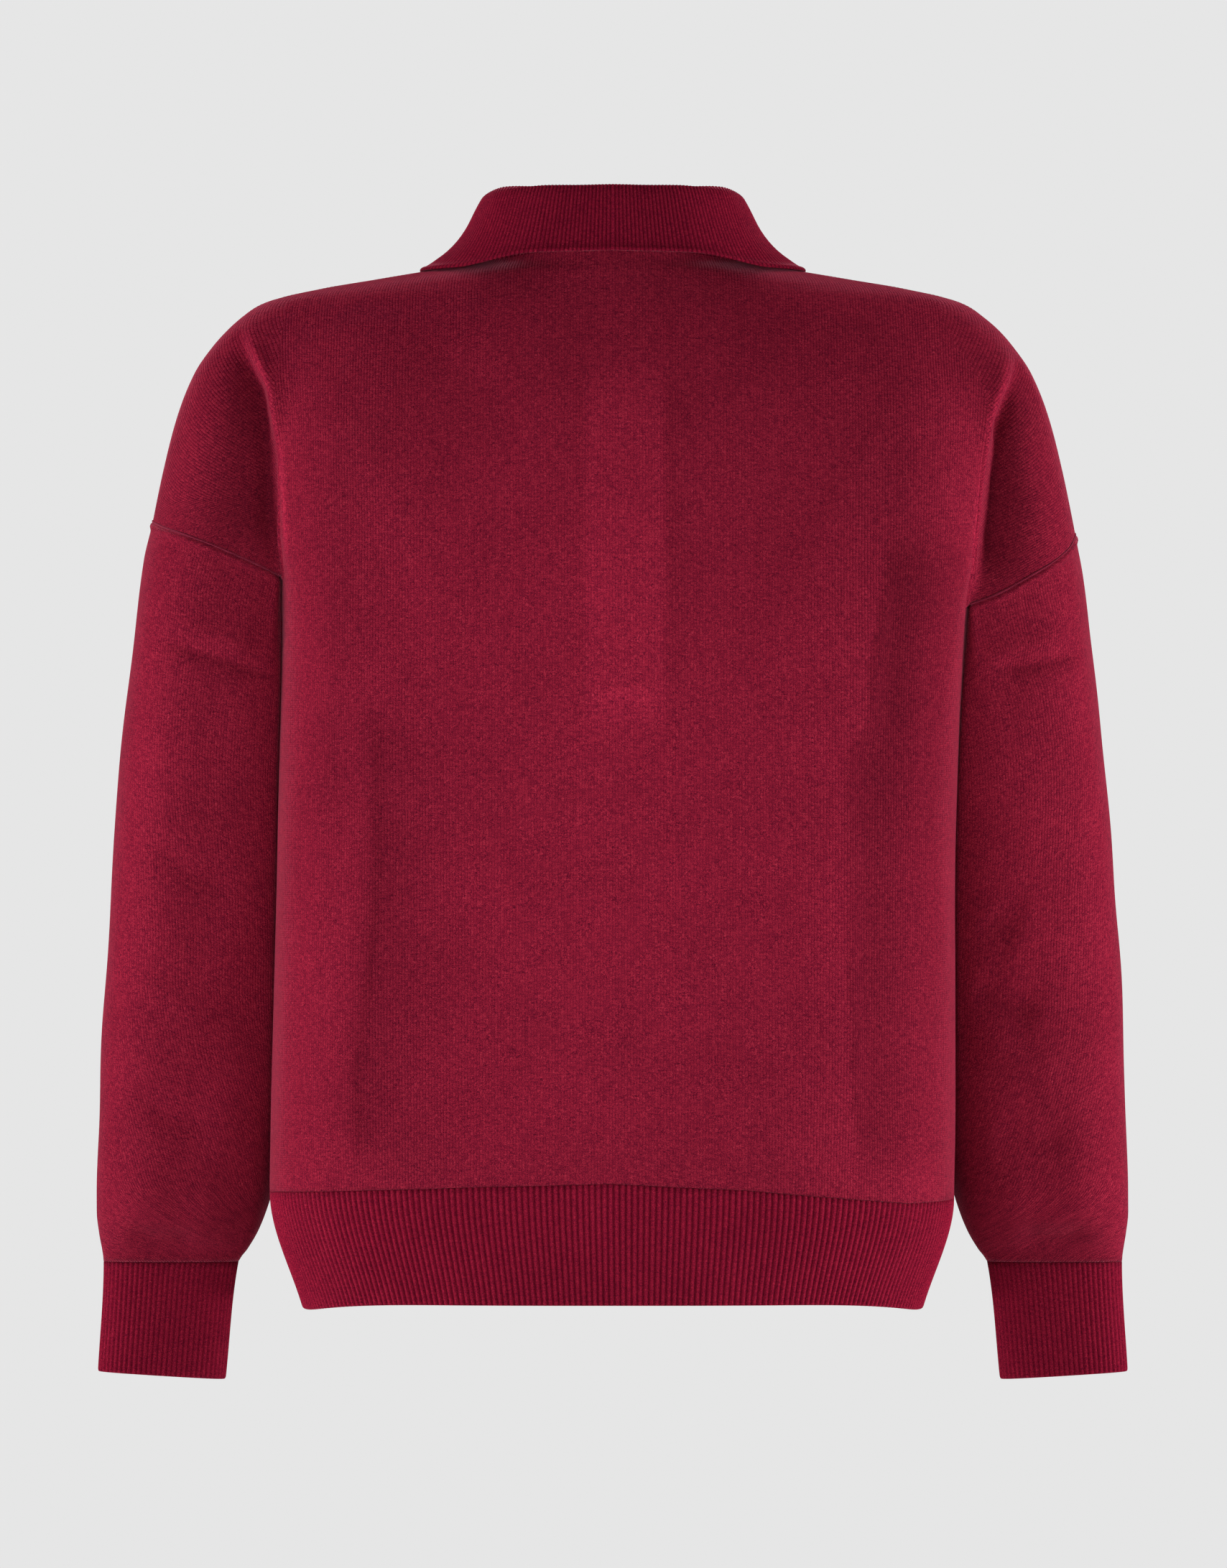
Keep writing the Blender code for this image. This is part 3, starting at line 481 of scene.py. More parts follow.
def body_relief(panel, point, normal):
    """How far the cloth stands off the plain form at a point: folds where it faces back or front, waves
    everywhere, and nothing at the hem, the neck, the side seams and beside the sleeves."""
    x, y, z = np.moveaxis(point, -1, 0)
    facing = ease(np.abs(normal[..., 1]), *FACING)
    height = relief(FRONT_FOLDS if panel == "front" else BACK_FOLDS, x, z) * facing
    if panel == "back":
        height += placket_print(x, z) * facing
    height += slow_waves(x, z + FRONT_WAVES * (panel == "front")) * facing
    rim = ease(z, HEM_SEAM_Z, HEM_SEAM_Z + HEM_RIM) * (1 - ease(z, *NECK_RIM))
    return height * rim * ease(np.abs(y), 0, SIDE_RIM)


def dressed(panel, point, arms_from):
    """Points of the plain form moved along their outward direction by the relief, and up with the hem."""
    normal = body_normal(point, arms_from)
    moved = point + body_relief(panel, point, normal)[..., None] * normal
    moved[..., 2] += hem_rise(point)
    return moved


def dressed_armhole(turn, side):
    """The armhole seam's points on the dressed panels, and their outward directions."""
    point, outward = armhole_seam(turn, side)
    point[np.abs(turn) == 180, 1] = 0.0
    stand_off = np.where(turn > 0, body_relief("back", point, outward), body_relief("front", point, outward))
    over = np.abs(turn) <= corner_turn(turn, side) + 1
    return point + (stand_off * over)[:, None] * outward, outward


def run_along(points, axis):
    """Length run along a grid's lines, from its first row or column."""
    step = np.linalg.norm(np.diff(points, axis=axis), axis=-1)
    start = np.zeros_like(np.take(step, [0], axis=axis))
    return np.cumsum(np.concatenate([start, step], axis=axis), axis=axis)


MIDDLE_STEPS, SLOT_STEPS, UNDER_STEPS, OVER_STEPS = 84, 7, 12, 40
BELOW_ROWS, SLOT_ROWS, CAP_ROWS = 84, 24, 18
CAP_TOP_Z, MIDDLE_CORNER_Z = -134 * MM, -188 * MM
SHOULDER_Z = np.array((-134, -116, -98, -75, -55, -39, -27, -18, -11, -4, 4.4)) * MM
SHOULDER_ROWS = 60
ARMHOLE_U = 310 * MM  # the armhole's distance from the middle in the knitted piece
CAP_SLANT = (0, 28, 55)  # degrees between the cap's wales and the grid's rows: corner, cap's top, neck
MEASURE_Z, MEASURE_STEPS = -0.3, 300  # the ring round the plain body along which the columns are spaced
EVEN_SHARE, CAP_CLOSING = 0.3, 1.6  # how much of the spacing is even, and how the cap's steps close up
TILT_FROM = 0.3  # share of the way to the crease from which the rows bend to meet it


def shoulder_heights(count):
    """Heights up the shoulder, even steps along its table."""
    return np.interp(np.linspace(0, len(SHOULDER_Z) - 1, count), np.arange(len(SHOULDER_Z)), SHOULDER_Z)


def half_panel(panel, side):
    """Half a panel in three grids of points: from the middle to the crease beside the arm, below the arm,
    and over the arm from the crease to the shoulder seam. Steps close up towards the crease."""
    sign = -1 if panel == "front" else 1

    def under_neck(rows, angle):
        """Rows near the neck, drawn together or apart so that the last one lies on its edge."""
        lift = (neck_z(angle, panel) - NECK_ROWS_FROM_Z) / (NECK_SIDE_Z - NECK_ROWS_FROM_Z)
        return np.where(rows > NECK_ROWS_FROM_Z, NECK_ROWS_FROM_Z + (rows - NECK_ROWS_FROM_Z) * lift, rows)

    seam_turn, corner_z = CORNERS[panel, side]
    below = np.linspace(HEM_SEAM_Z, SLOT_END_Z, BELOW_ROWS)[:-1]
    below = np.append(below, np.linspace(SLOT_END_Z, corner_z, SLOT_ROWS)[:-1])
    shoulder = shoulder_heights(SHOULDER_ROWS + 1)[1:]
    rows = np.concatenate([below, np.linspace(corner_z, CAP_TOP_Z, CAP_ROWS), shoulder])
    corner_row = len(below)

    slot = np.linspace(SLOT_END_Z, MIDDLE_CORNER_Z, SLOT_ROWS)[:-1]
    cap = np.linspace(MIDDLE_CORNER_Z, CAP_TOP_Z, CAP_ROWS)
    even = np.concatenate([below[: BELOW_ROWS - 1], slot, cap, shoulder])

    crease = crease_point(panel, side, rows[corner_row:])
    crease_angle = np.arctan2(np.abs(crease[:, 1]), np.abs(crease[:, 0]))
    column_end = np.concatenate([np.full(corner_row, crease_angle[0]), crease_angle])[:, None]

    flat = math.pi / 2 - np.linspace(0, 1, MEASURE_STEPS) * (math.pi / 2 - crease_angle[0])
    row = body_point(sign * flat, MEASURE_Z, side)
    part = np.linspace(0, 1, MIDDLE_STEPS)
    share = 1 - EVEN_SHARE * (1 - part) - (1 - EVEN_SHARE) * (1 - part) ** 2
    run = run_along(row, 0)
    columns = np.interp(share * run[-1], run, flat)
    middle = math.pi / 2 + (columns - math.pi / 2) / (columns[-1] - math.pi / 2) * (column_end - math.pi / 2)
    if panel == "front":
        lifted = under_neck(rows, np.arctan2(torso("front", rows), SLOT_HALF_WIDTH))
        edge = np.arctan2(torso("front", lifted), SLOT_HALF_WIDTH)[:, None]
        outer = (middle[:, SLOT_STEPS:] - column_end) / (middle[:, SLOT_STEPS : SLOT_STEPS + 1] - column_end)
        outer = column_end + outer * (edge - column_end)
        inner = math.pi / 2 + (edge - math.pi / 2) * np.arange(SLOT_STEPS) / SLOT_STEPS
        middle = np.concatenate([inner, outer], axis=1)
    tall = even[:, None] + (rows - even)[:, None] * ease(part, TILT_FROM, 1.0)
    middle = body_point(sign * middle, under_neck(tall, middle), side, corner_z)
    middle[corner_row:, -1] = crease

    turns = np.linspace(seam_turn, 180, UNDER_STEPS)
    top, _ = armhole_seam(sign * turns, side)
    top[0], top[-1, 1] = crease[0], 0.0
    top_angle = np.arctan2(np.abs(top[:, 1]), np.abs(top[:, 0]))
    share = (rows[: corner_row + 1, None] - rows[0]) / (corner_z - rows[0])
    under_z = rows[0] + share * (top[:, 2] - rows[0])
    under = body_point(sign * top_angle, under_z, side, NO_ARM)
    under[:, 0] = middle[: corner_row + 1, -1]

    part = np.linspace(0, 1, OVER_STEPS)
    part = EVEN_SHARE * part + (1 - EVEN_SHARE) * part**CAP_CLOSING
    top_z = armhole_z(sign * seam_turn * (1 - part), side)
    share = np.arange(CAP_ROWS)[:, None] / (CAP_ROWS - 1)
    over_z = np.concatenate([top_z + share * (CAP_TOP_Z - top_z), shoulder[:, None] + 0 * part])
    centre, _, forward, _ = body_sizes(rows[corner_row:], FULL_ARM)[1]
    crease_turn = np.arctan2(np.abs(crease[:, 1] + forward), np.abs(crease[:, 0]) - centre)[:, None]
    sizes = body_sizes(over_z, FULL_ARM)
    centre, _, forward, _ = sizes[1]
    over = first_crossing(centre, -forward, sign * crease_turn * (1 - part), over_z, side, sizes)
    over[:, 0] = crease
    return middle, under, over, corner_z


def put(name, data):
    """A new object in the scene."""
    new = bpy.data.objects.new(name, data)
    bpy.context.scene.collection.objects.link(new)
    return new


def sheet_mesh(name, grids, material, wall, keep=None):
    """One mesh from grids of points with their cloth coordinates. Borders that touch are joined, faces
    look outwards, and a Solidify modifier gives the wall its thickness inwards."""
    points, cloth, faces, count = [], [], [], 0
    for place, (grid, uv) in enumerate(grids):
        numbers = np.arange(grid[..., 0].size).reshape(grid.shape[:2]) + count
        count += numbers.size
        quads = np.stack([numbers[:-1, :-1], numbers[:-1, 1:], numbers[1:, 1:], numbers[1:, :-1]], axis=-1)
        if keep is not None:
            quads = quads[keep[place]]
        points.append(grid.reshape(-1, 3))
        cloth.append(uv.reshape(-1, 2))
        faces.append(quads.reshape(-1, 4))
    points, cloth, faces = (np.concatenate(part) for part in (points, cloth, faces))
    mesh = bpy.data.meshes.new(name)
    mesh.from_pydata(points.tolist(), [], faces.tolist())
    layer = mesh.uv_layers.new(name="cloth")
    layer.data.foreach_set("uv", cloth[faces.ravel()].astype(np.float32).ravel())
    mesh.materials.append(material)
    shape = bmesh.new()
    shape.from_mesh(mesh)
    bmesh.ops.remove_doubles(shape, verts=shape.verts, dist=0.02 * MM)
    loose = [vertex for vertex in shape.verts if not vertex.link_faces]
    bmesh.ops.delete(shape, geom=loose, context="VERTS")
    bmesh.ops.recalc_face_normals(shape, faces=shape.faces)
    shape.to_mesh(mesh)
    shape.free()
    mesh.shade_smooth()
    piece = put(name, mesh)
    if wall:
        thick = piece.modifiers.new("wall", "SOLIDIFY")
        thick.thickness, thick.offset = wall, -1.0
        thick.use_even_offset = False
    return piece


def numbers_of(items, name, size=3):
    """One attribute of all of a mesh's vertices or faces."""
    values = np.empty(len(items) * size)
    items.foreach_get(name, values)
    return values.reshape(-1, size)


def face_outwards(piece, middle):
    """Turns a sheet's faces round when more of its area looks towards the middle than away from it."""
    faces = piece.data.polygons
    away = (numbers_of(faces, "center") - middle) * numbers_of(faces, "normal") * numbers_of(faces, "area", 1)
    if away.sum() < 0:
        piece.data.flip_normals()
    return piece


def face_along(piece, place, direction):
    """Turns a sheet's faces round when the one nearest a place looks against a direction."""
    nearest = min(piece.data.polygons, key=lambda face: math.dist(face.center, place))
    if nearest.normal.dot(direction) < 0:
        piece.data.flip_normals()
    return piece


def paint_light_and_shade(piece, lines, print_through=False):
    """Stores how much lighter or darker each point is painted, as painted light and shade: the share that the
    material adds to its colour.
    """
    x, _, z = numbers_of(piece.data.vertices, "co").T
    nap = relief(lines, x, z) / MM
    if print_through:
        nap += PRINT_PAINTED_HIGHLIGHT * placket_print(x, z) / MM
    nap *= ease(np.abs(numbers_of(piece.data.vertices, "normal")[:, 1]), 0.25, 0.6)
    layer = piece.data.attributes.new("nap", "FLOAT", "POINT")
    layer.data.foreach_set("value", nap.astype(np.float32))


def hand_in(piece, node, slot, **cut):
    """Hides the node that a piece replaces, if any, and puts the piece under the root body. The slot and the
    flat cut are not used.
    """
    if node:
        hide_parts(node)
    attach(piece, "root")


def panel_piece(panel, material):
    """Both halves of the front or back, dressed, with cloth coordinates: the body's wales run down from
    the shoulder. The cap's run along the armhole seam, at a distance from it, and slant more and more
    against the grid's rows towards the neck: the run over the outline times the slant's cosine, and the
    run inwards from there times its sine."""
    grids, keep = [], []
    for side in (1, -1):
        *blocks, corner_z = half_panel(panel, side)
        middle, under, over = (
            dressed(panel, block, arms_from) for block, arms_from in zip(blocks, (corner_z, corner_z, FULL_ARM))
        )
        under[:, 0], over[:, 0] = middle[: len(under), -1], middle[len(under) - 1 :, -1]
        middle_u, middle_v = run_along(middle, 1), run_along(middle, 0)
        under_u = middle_u[: len(under), -1:] + run_along(under, 1)
        inwards = run_along(over[:, ::-1], 1)[:, ::-1]
        slant = np.radians(np.interp(np.arange(len(over)), (0, CAP_ROWS, len(over)), CAP_SLANT))[:, None]
        outline = np.diff(run_along(over, 0)[:, -1:], axis=0, prepend=0)
        cap_u = ARMHOLE_U - np.cumsum(outline * np.cos(slant), axis=0) - inwards * np.sin(slant)
        cap_v = np.cumsum(outline * np.sin(slant), axis=0) - inwards * np.cos(slant)
        cloths = ((middle_u, middle_v), (under_u, run_along(under, 0)), (cap_u, cap_v))
        for place, (grid, (u, v)) in enumerate(zip((middle, under, over), cloths)):
            grids.append((grid, np.stack([side * u + 0.6, v + 1.0], axis=-1)))
            kept = np.ones((grid.shape[0] - 1, grid.shape[1] - 1), bool)
            if panel == "front" and place == 0:
                kept[BELOW_ROWS - 1 :, :SLOT_STEPS] = False
            keep.append(kept)
    piece = sheet_mesh(f"{panel}_panel", grids, material, CLOTH_WALL, keep)
    # paints the panel's light and shade, and on the back the highlight over the placket's print, into its
    # colour
    paint_light_and_shade(piece, FRONT_PAINTED_SHADING if panel == "front" else BACK_PAINTED_SHADING, panel == "back")
    return face_outwards(piece, (0, 0, -0.3))


class Shade:
    """A shader value. Its operators add Math nodes, and node() adds a node of any other kind."""

    def __init__(self, tree, socket):
        self.tree, self.socket = tree, socket

    def node(self, kind, settings=(), values=(), output=0):
        new = self.tree.nodes.new("ShaderNode" + kind)
        for name, setting in dict(settings).items():
            if name == "stops":
                ramp = new.color_ramp
                while len(ramp.elements) < len(setting):
                    ramp.elements.new(0.5)
                for element, (place, colour) in zip(ramp.elements, setting):
                    element.position, element.color = place, (*colour, 1)
            else:
                setattr(new, name, setting)
        for name, value in dict(values).items():
            if isinstance(value, Shade):
                self.tree.links.new(value.socket, new.inputs[name])
            else:
                new.inputs[name].default_value = value
        return Shade(self.tree, new.outputs[output])

    def math(self, operation, *others):
        return self.node("Math", {"operation": operation}, dict(enumerate((self, *others))))

    def __add__(self, other):
        return self.math("ADD", other)

    def __mul__(self, other):
        return self.math("MULTIPLY", other)

    def __sub__(self, other):
        return self.math("SUBTRACT", other)

    def __rsub__(self, other):
        return self.node("Math", {"operation": "SUBTRACT"}, {0: other, 1: self})

    def split(self):
        """A vector's first two parts."""
        first = self.node("SeparateXYZ", values={0: self})
        return first, Shade(self.tree, first.socket.node.outputs[1])

    def noise(self, scale, detail, roughness=0.5):
        return self.node("TexNoise", values={0: self, "Scale": scale, "Detail": detail, "Roughness": roughness})

    def mixed(self, dark, light):
        """A colour between two, by this value."""
        return self.node("Mix", {"data_type": "RGBA"}, {0: self, 6: (*dark, 1), 7: (*light, 1)}, output=2)

    def bump(self, strength, distance):
        return self.node("Bump", values={"Strength": strength, "Distance": distance, "Height": self})


def new_finish(name):
    """An empty Principled material, the piece's cloth coordinates and its place in space."""
    material = bpy.data.materials.new(name)
    material.use_nodes = True
    tree = material.node_tree
    cloth = Shade(tree, None).node("UVMap", {"uv_map": "cloth"})
    return material, cloth, cloth.node("TexCoord", output=3)


def finished(material, colour, bump, settings):
    """The material with its colour, its bump and its uniform values set on the shader."""
    shader = material.node_tree.nodes["Principled BSDF"]
    material.node_tree.links.new(colour.socket, shader.inputs["Base Color"])
    material.node_tree.links.new(bump.socket, shader.inputs["Normal"])
    for name, value in settings.items():
        shader.inputs[name].default_value = value
    return material


WOOL = {
    "Roughness": 0.85,
    "Specular IOR Level": 0.0,
    "Sheen Weight": 0.26,
    "Sheen Roughness": 0.24,
    "Sheen Tint": (1.0, 0.30, 0.42, 1),
}


def knit_finish(name, wale, course, colours, relief_height, furrow_painted_shade, wale_share=1.0, speck=1.0):
    """Wool knit. Across a wale the loops' relief is 1 - across squared. Each loop's two legs lean into a V,
    so courses shift with the distance from the wale's middle. The yarn is spun of crimson, plum and nearly
    black fibres: its tone sums a value for each loop, fine flecks in space and streaks drawn out along the
    courses, less an offset that keeps the mean near a half. Painted shade in the furrows and the painted
    light and shade stored on the mesh scale the colour."""
    material, cloth, place = new_finish(name)
    u, v = cloth.split()
    wales, courses = u * (1 / wale), v * (1 / course)
    across = (wales.math("FRACT") - 0.5).math("ABSOLUTE") * 2.0
    leaned = courses + across * 0.5
    ridge = 1 - across * across
    beads = 1 - (leaned.math("FRACT") * 2 - 1).math("ABSOLUTE")
    stitch = wales.node("CombineXYZ", values={0: wales.math("FLOOR"), 1: leaned.math("FLOOR"), 2: 0.0})
    chance = stitch.node("TexWhiteNoise", values={0: stitch})
    fleck = place.noise(2100.0, 1.0, 0.7)
    drawn = cloth.node("VectorMath", {"operation": "MULTIPLY"}, {0: cloth, 1: (0.28, 1.0, 1.0)})
    streak = drawn.noise(900.0, 2.0, 0.6)
    tone = chance * (0.19 * speck) + fleck * 1.45 + streak * 0.34 - (0.395 + 0.095 * speck)
    colour = tone.node("ValToRGB", {"stops": colours}, {0: tone})
    patches = place.noise(24.0, 4.0, 0.62) * 0.36 + 0.82
    # painted shade: the colour darkens towards the furrows between the wales
    furrow_shade = ridge * furrow_painted_shade + (1 - furrow_painted_shade * 0.62)
    # painted light and shade stored on the mesh, added to one as a share of the colour
    nap = cloth.node("Attribute", {"attribute_name": "nap"}, output=2)
    mottle_and_painted_shading = patches * furrow_shade * (nap + 1.0)
    colour = colour.node("VectorMath", {"operation": "SCALE"}, {0: colour, "Scale": mottle_and_painted_shading})
    height = ridge * wale_share + beads * 0.5 + fleck * 0.6
    return finished(material, colour, height.bump(1.0, relief_height), WOOL)


YARN = (
    (0.0, (0.030, 0.0015, 0.0066)),
    (0.28, (0.085, 0.0044, 0.0152)),
    (0.5, (0.168, 0.0078, 0.0225)),
    (0.72, (0.246, 0.0130, 0.0310)),
    (1.0, (0.37, 0.037, 0.063)),
)
WALE, COURSE = 1.72 * MM, 1.25 * MM
# the fifth value is the painted shade in the furrows between the wales
body_knit = knit_finish("body_knit", WALE, COURSE, YARN, 0.17 * MM, 0.26)

for panel, flat, area in (("back", (0.62, 0.62), 0.345), ("front", (0.62, 0.60), 0.325)):
    piece = panel_piece(panel, body_knit)
    hand_in(piece, panel, "crimson_double_knit", flat=flat, held="stretched", rests_on=["collar"], area=area)

# ------------------------------------------------------------------ sleeves
# Each sleeve is a straight-knitted tube set into the dropped armhole. It hangs a little forward, bags
# over its cuff and creases where the elbow and the armhole bend it.
SLEEVE_END_Z = -574.7 * MM
SLEEVE_TURNS, SLEEVE_ROWS = 128, 156
SEAM_BLEND = 0.16  # share of the sleeve over which the armhole's outline goes over to the arm's
WELT_HEIGHT, WELT_DOWN, WELT_WIDTH, GROOVE_DEPTH, GROOVE_WIDTH = 1.3 * MM, 2.6, 1.9, 0.7 * MM, 1.2
LEFT_SLEEVE_FOLDS = (
    (-3.3, 6, 7, 0.3, ((262, -216), (236, -222), (206, -232), (190, -238))),
    (2.4, 9, 10, 0.3, ((262, -205), (232, -210), (200, -221))),
    (-2.1, 10, 12, 0.3, ((270, -330), (240, -352), (214, -360))),
    (1.8, 14, 12, 0.3, ((286, -400), (250, -424), (222, -436))),
    (-2.2, 10, 12, 0.3, ((284, -470), (256, -492), (226, -500))),
    (3.0, 16, 12, 0.3, ((292, -536), (252, -548), (212, -538))),
    (-2.4, 8, 7, 0.3, ((286, -556), (262, -562), (238, -560))),
)
RIGHT_SLEEVE_FOLDS = (
    (-3.6, 6, 6, 0.3, ((-214, -231), (-240, -229), (-272, -222))),
    (2.5, 9, 9, 0.3, ((-212, -220), (-242, -217), (-268, -212))),
    (-2.2, 12, 12, 0.3, ((-216, -372), (-224, -380), (-236, -384))),
    (-3.3, 9, 10, 0.3, ((-204, -412), (-226, -424), (-250, -432))),
    (2.4, 14, 12, 0.3, ((-206, -440), (-236, -456), (-268, -462))),
    (-2.0, 12, 12, 0.3, ((-216, -498), (-244, -506), (-270, -500))),
    (2.8, 14, 12, 0.3, ((-210, -536), (-250, -548), (-290, -538))),
    (-2.2, 8, 7, 0.3, ((-232, -558), (-258, -562), (-282, -556))),
)

# Painted light and shade on the sleeves, in the columns of the body's: painted shade along the creases with a
# painted highlight beside them, painted shade in the hollows, a broad painted highlight down each sleeve and a
# thin line of painted shade just above the cuff.
LEFT_SLEEVE_PAINTED_SHADING = (
    (-0.24, 2.2, 0.8, 0.14, LEFT_SLEEVE_FOLDS[0][4]),
    (0.12, 1.0, 7, 0.3, LEFT_SLEEVE_FOLDS[0][4]),
    (-0.10, 12, 3, 0.3, LEFT_SLEEVE_FOLDS[2][4]),
    (-0.10, 12, 3, 0.3, LEFT_SLEEVE_FOLDS[4][4]),
    (-0.10, 6, 6, 0.3, LEFT_SLEEVE_FOLDS[6][4]),
    (0.12, 12, 12, 0.3, ((262, -240), (272, -440))),
    (-0.16, 2.2, 2.2, 0.01, ((210, -573.6), (304, -573.6))),
)
RIGHT_SLEEVE_PAINTED_SHADING = (
    (-0.24, 2.2, 0.8, 0.14, RIGHT_SLEEVE_FOLDS[0][4]),
    (0.12, 1.0, 7, 0.3, RIGHT_SLEEVE_FOLDS[0][4]),
    (-0.16, 12, 3, 0.3, RIGHT_SLEEVE_FOLDS[2][4]),
    (-0.20, 10, 2, 0.3, RIGHT_SLEEVE_FOLDS[3][4]),
    (-0.10, 12, 3, 0.3, RIGHT_SLEEVE_FOLDS[5][4]),
    (-0.10, 6, 6, 0.3, RIGHT_SLEEVE_FOLDS[7][4]),
    (0.22, 18, 14, 0.3, ((-240, -250), (-248, -450))),
    (-0.16, 2.2, 2.2, 0.01, ((-304, -573.6), (-210, -573.6))),
)


TUCK, UNDER_TUCK = 0.35 * MM, 1.2 * MM  # how far below the seam the cloth starts: all round, and more below
FRONT_FOLD_RISE, FRONT_FOLD_SHARE = 14 * MM, 0.9
ROW_CLOSING = 1.35  # the rows close up towards the armhole
UNDER_BLEND = 6  # degrees on each side of the turn at which the seam dives under the arm


def sleeve_piece(side, word, material):
    """Arm sections from the dressed armhole's own outline down to the cuff, moved along their normals by
    the folds, which lie on the back of the sleeve and, a little higher, on its front. Below the seam the
    cloth stands up in a welt, a bell curve with a slowly changing height, beside a narrow groove."""
    turns = np.linspace(-180, 180, SLEEVE_TURNS)
    edge, _ = dressed_armhole(turns, side)
    reach = corner_turn(turns, side)
    under = ease(np.abs(turns), reach - UNDER_BLEND, reach + UNDER_BLEND)
    edge[:, 0] += side * UNDERARM_CLEARANCE * under
    start = edge[:, 2] - TUCK - UNDER_TUCK * under
    rows = np.linspace(0, 1, SLEEVE_ROWS)[:, None] ** ROW_CLOSING
    z = start + (SLEEVE_END_Z - start) * rows
    offset = edge - arm_section(turns, edge[:, 2], side, UNDERARM_CLEARANCE)
    offset = offset * (1, 1, 0) * (1 - ease(rows, 0, SEAM_BLEND))[..., None]

    def surface(turn, height):
        return arm_section(turn, height, side, UNDERARM_CLEARANCE) + offset

    point = surface(turns, z)
    around = surface(turns + 1.0, z) - surface(turns - 1.0, z)
    upward = surface(turns, z + MM) - surface(turns, z - MM)
    normal = unit(np.cross(around, upward) * side)
    folds, nap = (LEFT_SLEEVE_FOLDS, LEFT_SLEEVE_PAINTED_SHADING) if side > 0 else (RIGHT_SLEEVE_FOLDS, RIGHT_SLEEVE_PAINTED_SHADING)
    height = relief(folds, point[..., 0], z) * ease(normal[..., 1], -0.1, 0.45)
    front = relief(folds, point[..., 0], z - FRONT_FOLD_RISE) * FRONT_FOLD_SHARE
    height += front * ease(-normal[..., 1], -0.1, 0.45)
    height += slow_waves(point[..., 0] * 1.3 + point[..., 1], z)
    free = ease(rows, 0, 0.05) * (1 - ease(rows, 0.965, 1)) * (1 - under * (1 - ease(rows, 0.1, 0.3)))
    inner_side = ease(-side * normal[..., 0], 0.2, 0.8)
    down = (start - z) / MM
    uneven = 0.75 + 0.25 * np.sin(turns * 1.3 + 3 * np.sin(turns * 0.21))
    welt = WELT_HEIGHT * np.exp(-(((down - WELT_DOWN) / WELT_WIDTH) ** 2)) * uneven
    groove = GROOVE_DEPTH * np.exp(-down / GROOVE_WIDTH)
    height = height * free * (1 - inner_side) + (welt - groove) * (1 - under)
    point = point + height[..., None] * normal
    cloth = np.stack([side * run_along(point, 1) + 0.6, 2.0 - run_along(point, 0)], axis=-1)
    piece = sheet_mesh(f"sleeve_knit_{word}", [(point, cloth)], material, CLOTH_WALL)
    # paints the sleeve's light and shade into its colour
    paint_light_and_shade(piece, nap)
    return face_outwards(piece, (side * 0.245, -0.02, -0.36))


SIDES = ((1, "left"), (-1, "right"))
for side, word in SIDES:
    piece, seam = sleeve_piece(side, word, body_knit), f"{word}_armhole_seam"
    cut = {"flat": (0.34, 0.44), "held": "stretched", "rests_on": [seam], "area": 0.125}
    hand_in(piece, f"sleeve_{word}", "crimson_double_knit", **cut)

# ------------------------------------------------------------------ ribbed hem and cuffs
# The hem and the cuffs are tubes of one by one rib in the same yarn, knitted tighter, so that they
# draw the cloth in. Each rib is one column of loops, with a deep furrow beside it.
RIB_WALL, RIB_POINTS, HEM_RIB_HEIGHT, CUFF_RIB_HEIGHT = 1.7 * MM, 6, 1.0 * MM, 0.6 * MM
HEM_EDGE_Z, HEM_RIBS, HEM_ROWS = -600 * MM, 300, 17
CUFF_TOP_Z, CUFF_EDGE_Z, CUFF_RIBS, CUFF_ROWS = -575 * MM, -641 * MM, 66, 18
CUFF_TILT, CUFF_MIDDLE_X, CUFF_HALF_WIDTH = 2.3 * MM, 0.2625, 0.0375
TURN = 2 * math.pi
RIB_YARN = (
    (0.0, (0.027, 0.0011, 0.0056)),
    (0.28, (0.074, 0.0028, 0.0122)),
    (0.5, (0.144, 0.0048, 0.0172)),
    (0.72, (0.212, 0.0080, 0.0242)),
    (1.0, (0.31, 0.025, 0.048)),
)
RIB_COURSE, RIB_BUMP, RIB_SETTINGS = 1.15 * MM, 0.12 * MM, {"wale_share": 0.0, "speck": 0.5}
# the fifth values are the painted shade in the rib's furrows
hem_rib_knit = knit_finish("hem_rib_knit", 1.0, RIB_COURSE, RIB_YARN, RIB_BUMP, 0.74, **RIB_SETTINGS)
cuff_rib_knit = knit_finish("cuff_rib_knit", 1.0, RIB_COURSE, RIB_YARN, RIB_BUMP, 0.4, **RIB_SETTINGS)


def hem_section(turn, z):
    """A level superellipse ring through the torso's sizes."""
    half_depth = np.where(np.sin(turn) > 0, torso("back", z), torso("front", z))
    radius = ring_radius(turn, torso("half_width", z), half_depth, torso("squareness", z))
    return np.stack([torso("lean", z) + radius * np.cos(turn), radius * np.sin(turn), z + 0 * turn], axis=-1)


def spaced(section, z, turns):
    """The section read at even steps along its own length."""
    fine = np.linspace(0, TURN, 1441)
    run = run_along(section(fine, z), 0)
    return section(np.interp(turns / TURN * run[-1], run, fine), z)


ROLL_Z, ROLL_HEIGHT, ROLL_DEPTH = np.array([2, 1.2, 0.6, 0.2, 0]) * MM, 2.0 * MM, 0.7 * MM
RIB_ROUNDNESS, EDGE_FURROW = 1.4, 0.35  # EDGE_FURROW is the share of the furrow's depth left at the edge
TANGENT_STEP = 0.004


